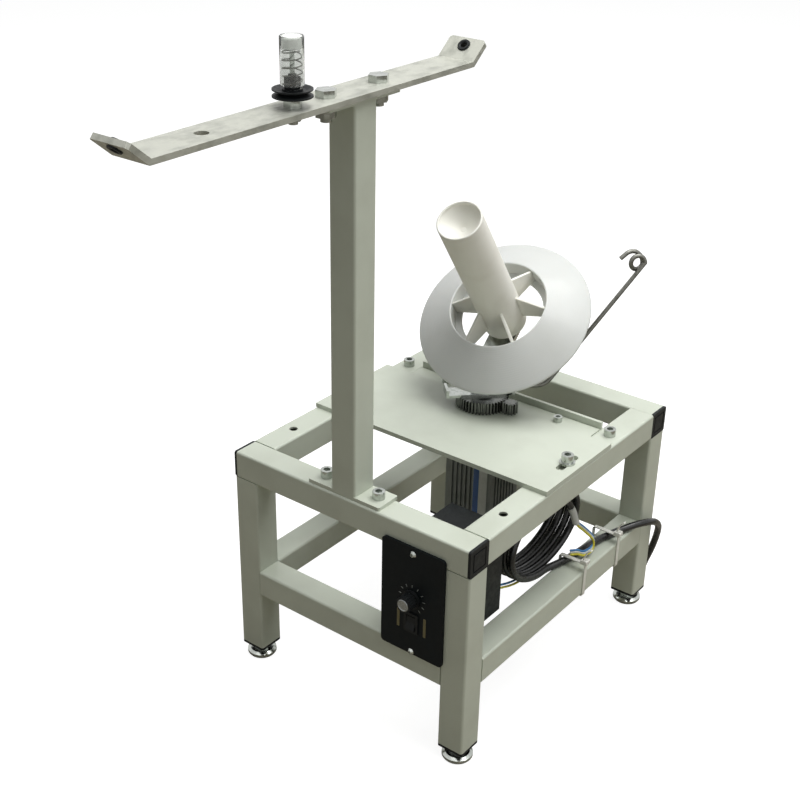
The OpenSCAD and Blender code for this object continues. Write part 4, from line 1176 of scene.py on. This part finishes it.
@dataclass(frozen=True)
class Lamp:
    """A soft lamp."""

    name: str
    where: Point  # Its place, metres
    size: float  # Its side, metres
    watts: float  # Its power


@dataclass
class Studio:
    """Floor, soft lamps and world."""

    floor_half: float = 6.0  # Half the floor's side, metres
    # One overhead, one at the right and a wide one above all
    lamps: tuple[Lamp, ...] = (
        Lamp("overhead", (0.35, 0.4, 2.4), 1.8, 48.0),
        Lamp("right_side", (2.2, -0.2, 1.2), 1.0, 5.8),
        Lamp("ceiling", (0.2, 0.3, 3.0), 4.5, 46.0),
    )
    aim: Point = (0.0, 0.0, 0.3)  # What the lamps face, metres
    sky: Point = (0.97, 1.0, 0.97)  # Colour of the world's light on the object
    ambient: float = 0.15  # Level of that light
    bounce: Point = (0.36, 0.33, 0.27)  # Colour of the ground in the light it throws back
    ground: float = 0.88  # Level of the ground before the lamps' light on it
    shade: float = 0.36  # How much of the lamps' light the ground shows, which gives the shadow its depth

    def build(self) -> None:
        """Makes the floor, the lamps and the world."""
        fresh()
        bpy.ops.mesh.primitive_plane_add(size=2 * self.floor_half, location=(0, 0, 0))
        floor = bpy.context.view_layer.objects.active
        floor.name = "studio_floor"
        floor.data.materials.append(self.floor_material())
        for lamp in self.lamps:
            data = bpy.data.lights.new(lamp.name, "AREA")
            data.energy = lamp.watts
            data.size = lamp.size
            stand_facing(lamp.name, data, lamp.where, self.aim)
        self.world()
        bpy.context.scene.view_settings.view_transform = "Standard"

    def seen(self, tree: NodeTree, mirrored: bool) -> NodeSocket:
        """Gives 1 for what the camera sees directly or through clear plastic, else 0.

        Args:
            tree: The nodes to add to.
            mirrored: Whether what shows in a reflection counts too.

        Returns:
            The socket with the 1 or 0.
        """
        path = add_node(tree, "ShaderNodeLightPath").outputs
        values = {0: path["Is Camera Ray"], 1: path["Is Transmission Ray"]}
        found = add_node(tree, "ShaderNodeMath", values, operation="MAXIMUM").outputs[0]
        if mirrored:
            values = {0: found, 1: path["Is Glossy Ray"]}
            found = add_node(tree, "ShaderNodeMath", values, operation="MAXIMUM").outputs[0]
        return found

    def floor_material(self) -> Material:
        """Makes a floor that is white to the eye and a warm grey to the light it throws back.

        Returns:
            The floor's material.
        """
        material = bpy.data.materials.new("studio_paper")
        tree = empty_tree(material)
        paper = add_node(tree, "ShaderNodeBsdfDiffuse", {"Color": (self.shade, self.shade, self.shade, 1)})
        lit = add_node(tree, "ShaderNodeEmission", {"Color": (1, 1, 1, 1), "Strength": self.ground})
        white = add_node(tree, "ShaderNodeAddShader", {0: paper.outputs[0], 1: lit.outputs[0]})
        bounce = add_node(tree, "ShaderNodeBsdfDiffuse", {"Color": (*self.bounce, 1)})
        values = {0: self.seen(tree, False), 1: bounce.outputs[0], 2: white.outputs[0]}
        mixed = add_node(tree, "ShaderNodeMixShader", values)
        add_node(tree, "ShaderNodeOutputMaterial", {"Surface": mixed.outputs[0]})
        return material

    def world(self) -> None:
        """Makes the world white to the eye and even and dimmer on the object."""
        world = bpy.data.worlds.new("studio")
        bpy.context.scene.world = world
        tree = empty_tree(world)
        values = {"Color": (*self.sky, 1), "Strength": self.ambient}
        soft = add_node(tree, "ShaderNodeBackground", values)
        white = add_node(tree, "ShaderNodeBackground", {"Color": (1, 1, 1, 1), "Strength": 1.0})
        values = {0: self.seen(tree, True), 1: soft.outputs[0], 2: white.outputs[0]}
        mixed = add_node(tree, "ShaderNodeMixShader", values)
        add_node(tree, "ShaderNodeOutputWorld", {"Surface": mixed.outputs[0]})


def main() -> None:
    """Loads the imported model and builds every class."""
    logging.basicConfig(level=logging.INFO, format="%(name)s: %(message)s")
    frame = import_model()
    Viewpoint().build()
    dresser = Dresser(frame["nodes"])
    MainsLead(dresser).build()
    dresser.dress_nodes()
    for trim in (YarnBobbin, WireGuide, Tensioner, NylonTies, PanelTrim, MotorPlate, LooseCores):
        trim(dresser).build()
    Studio().build()


if __name__ == "__main__":
    main()
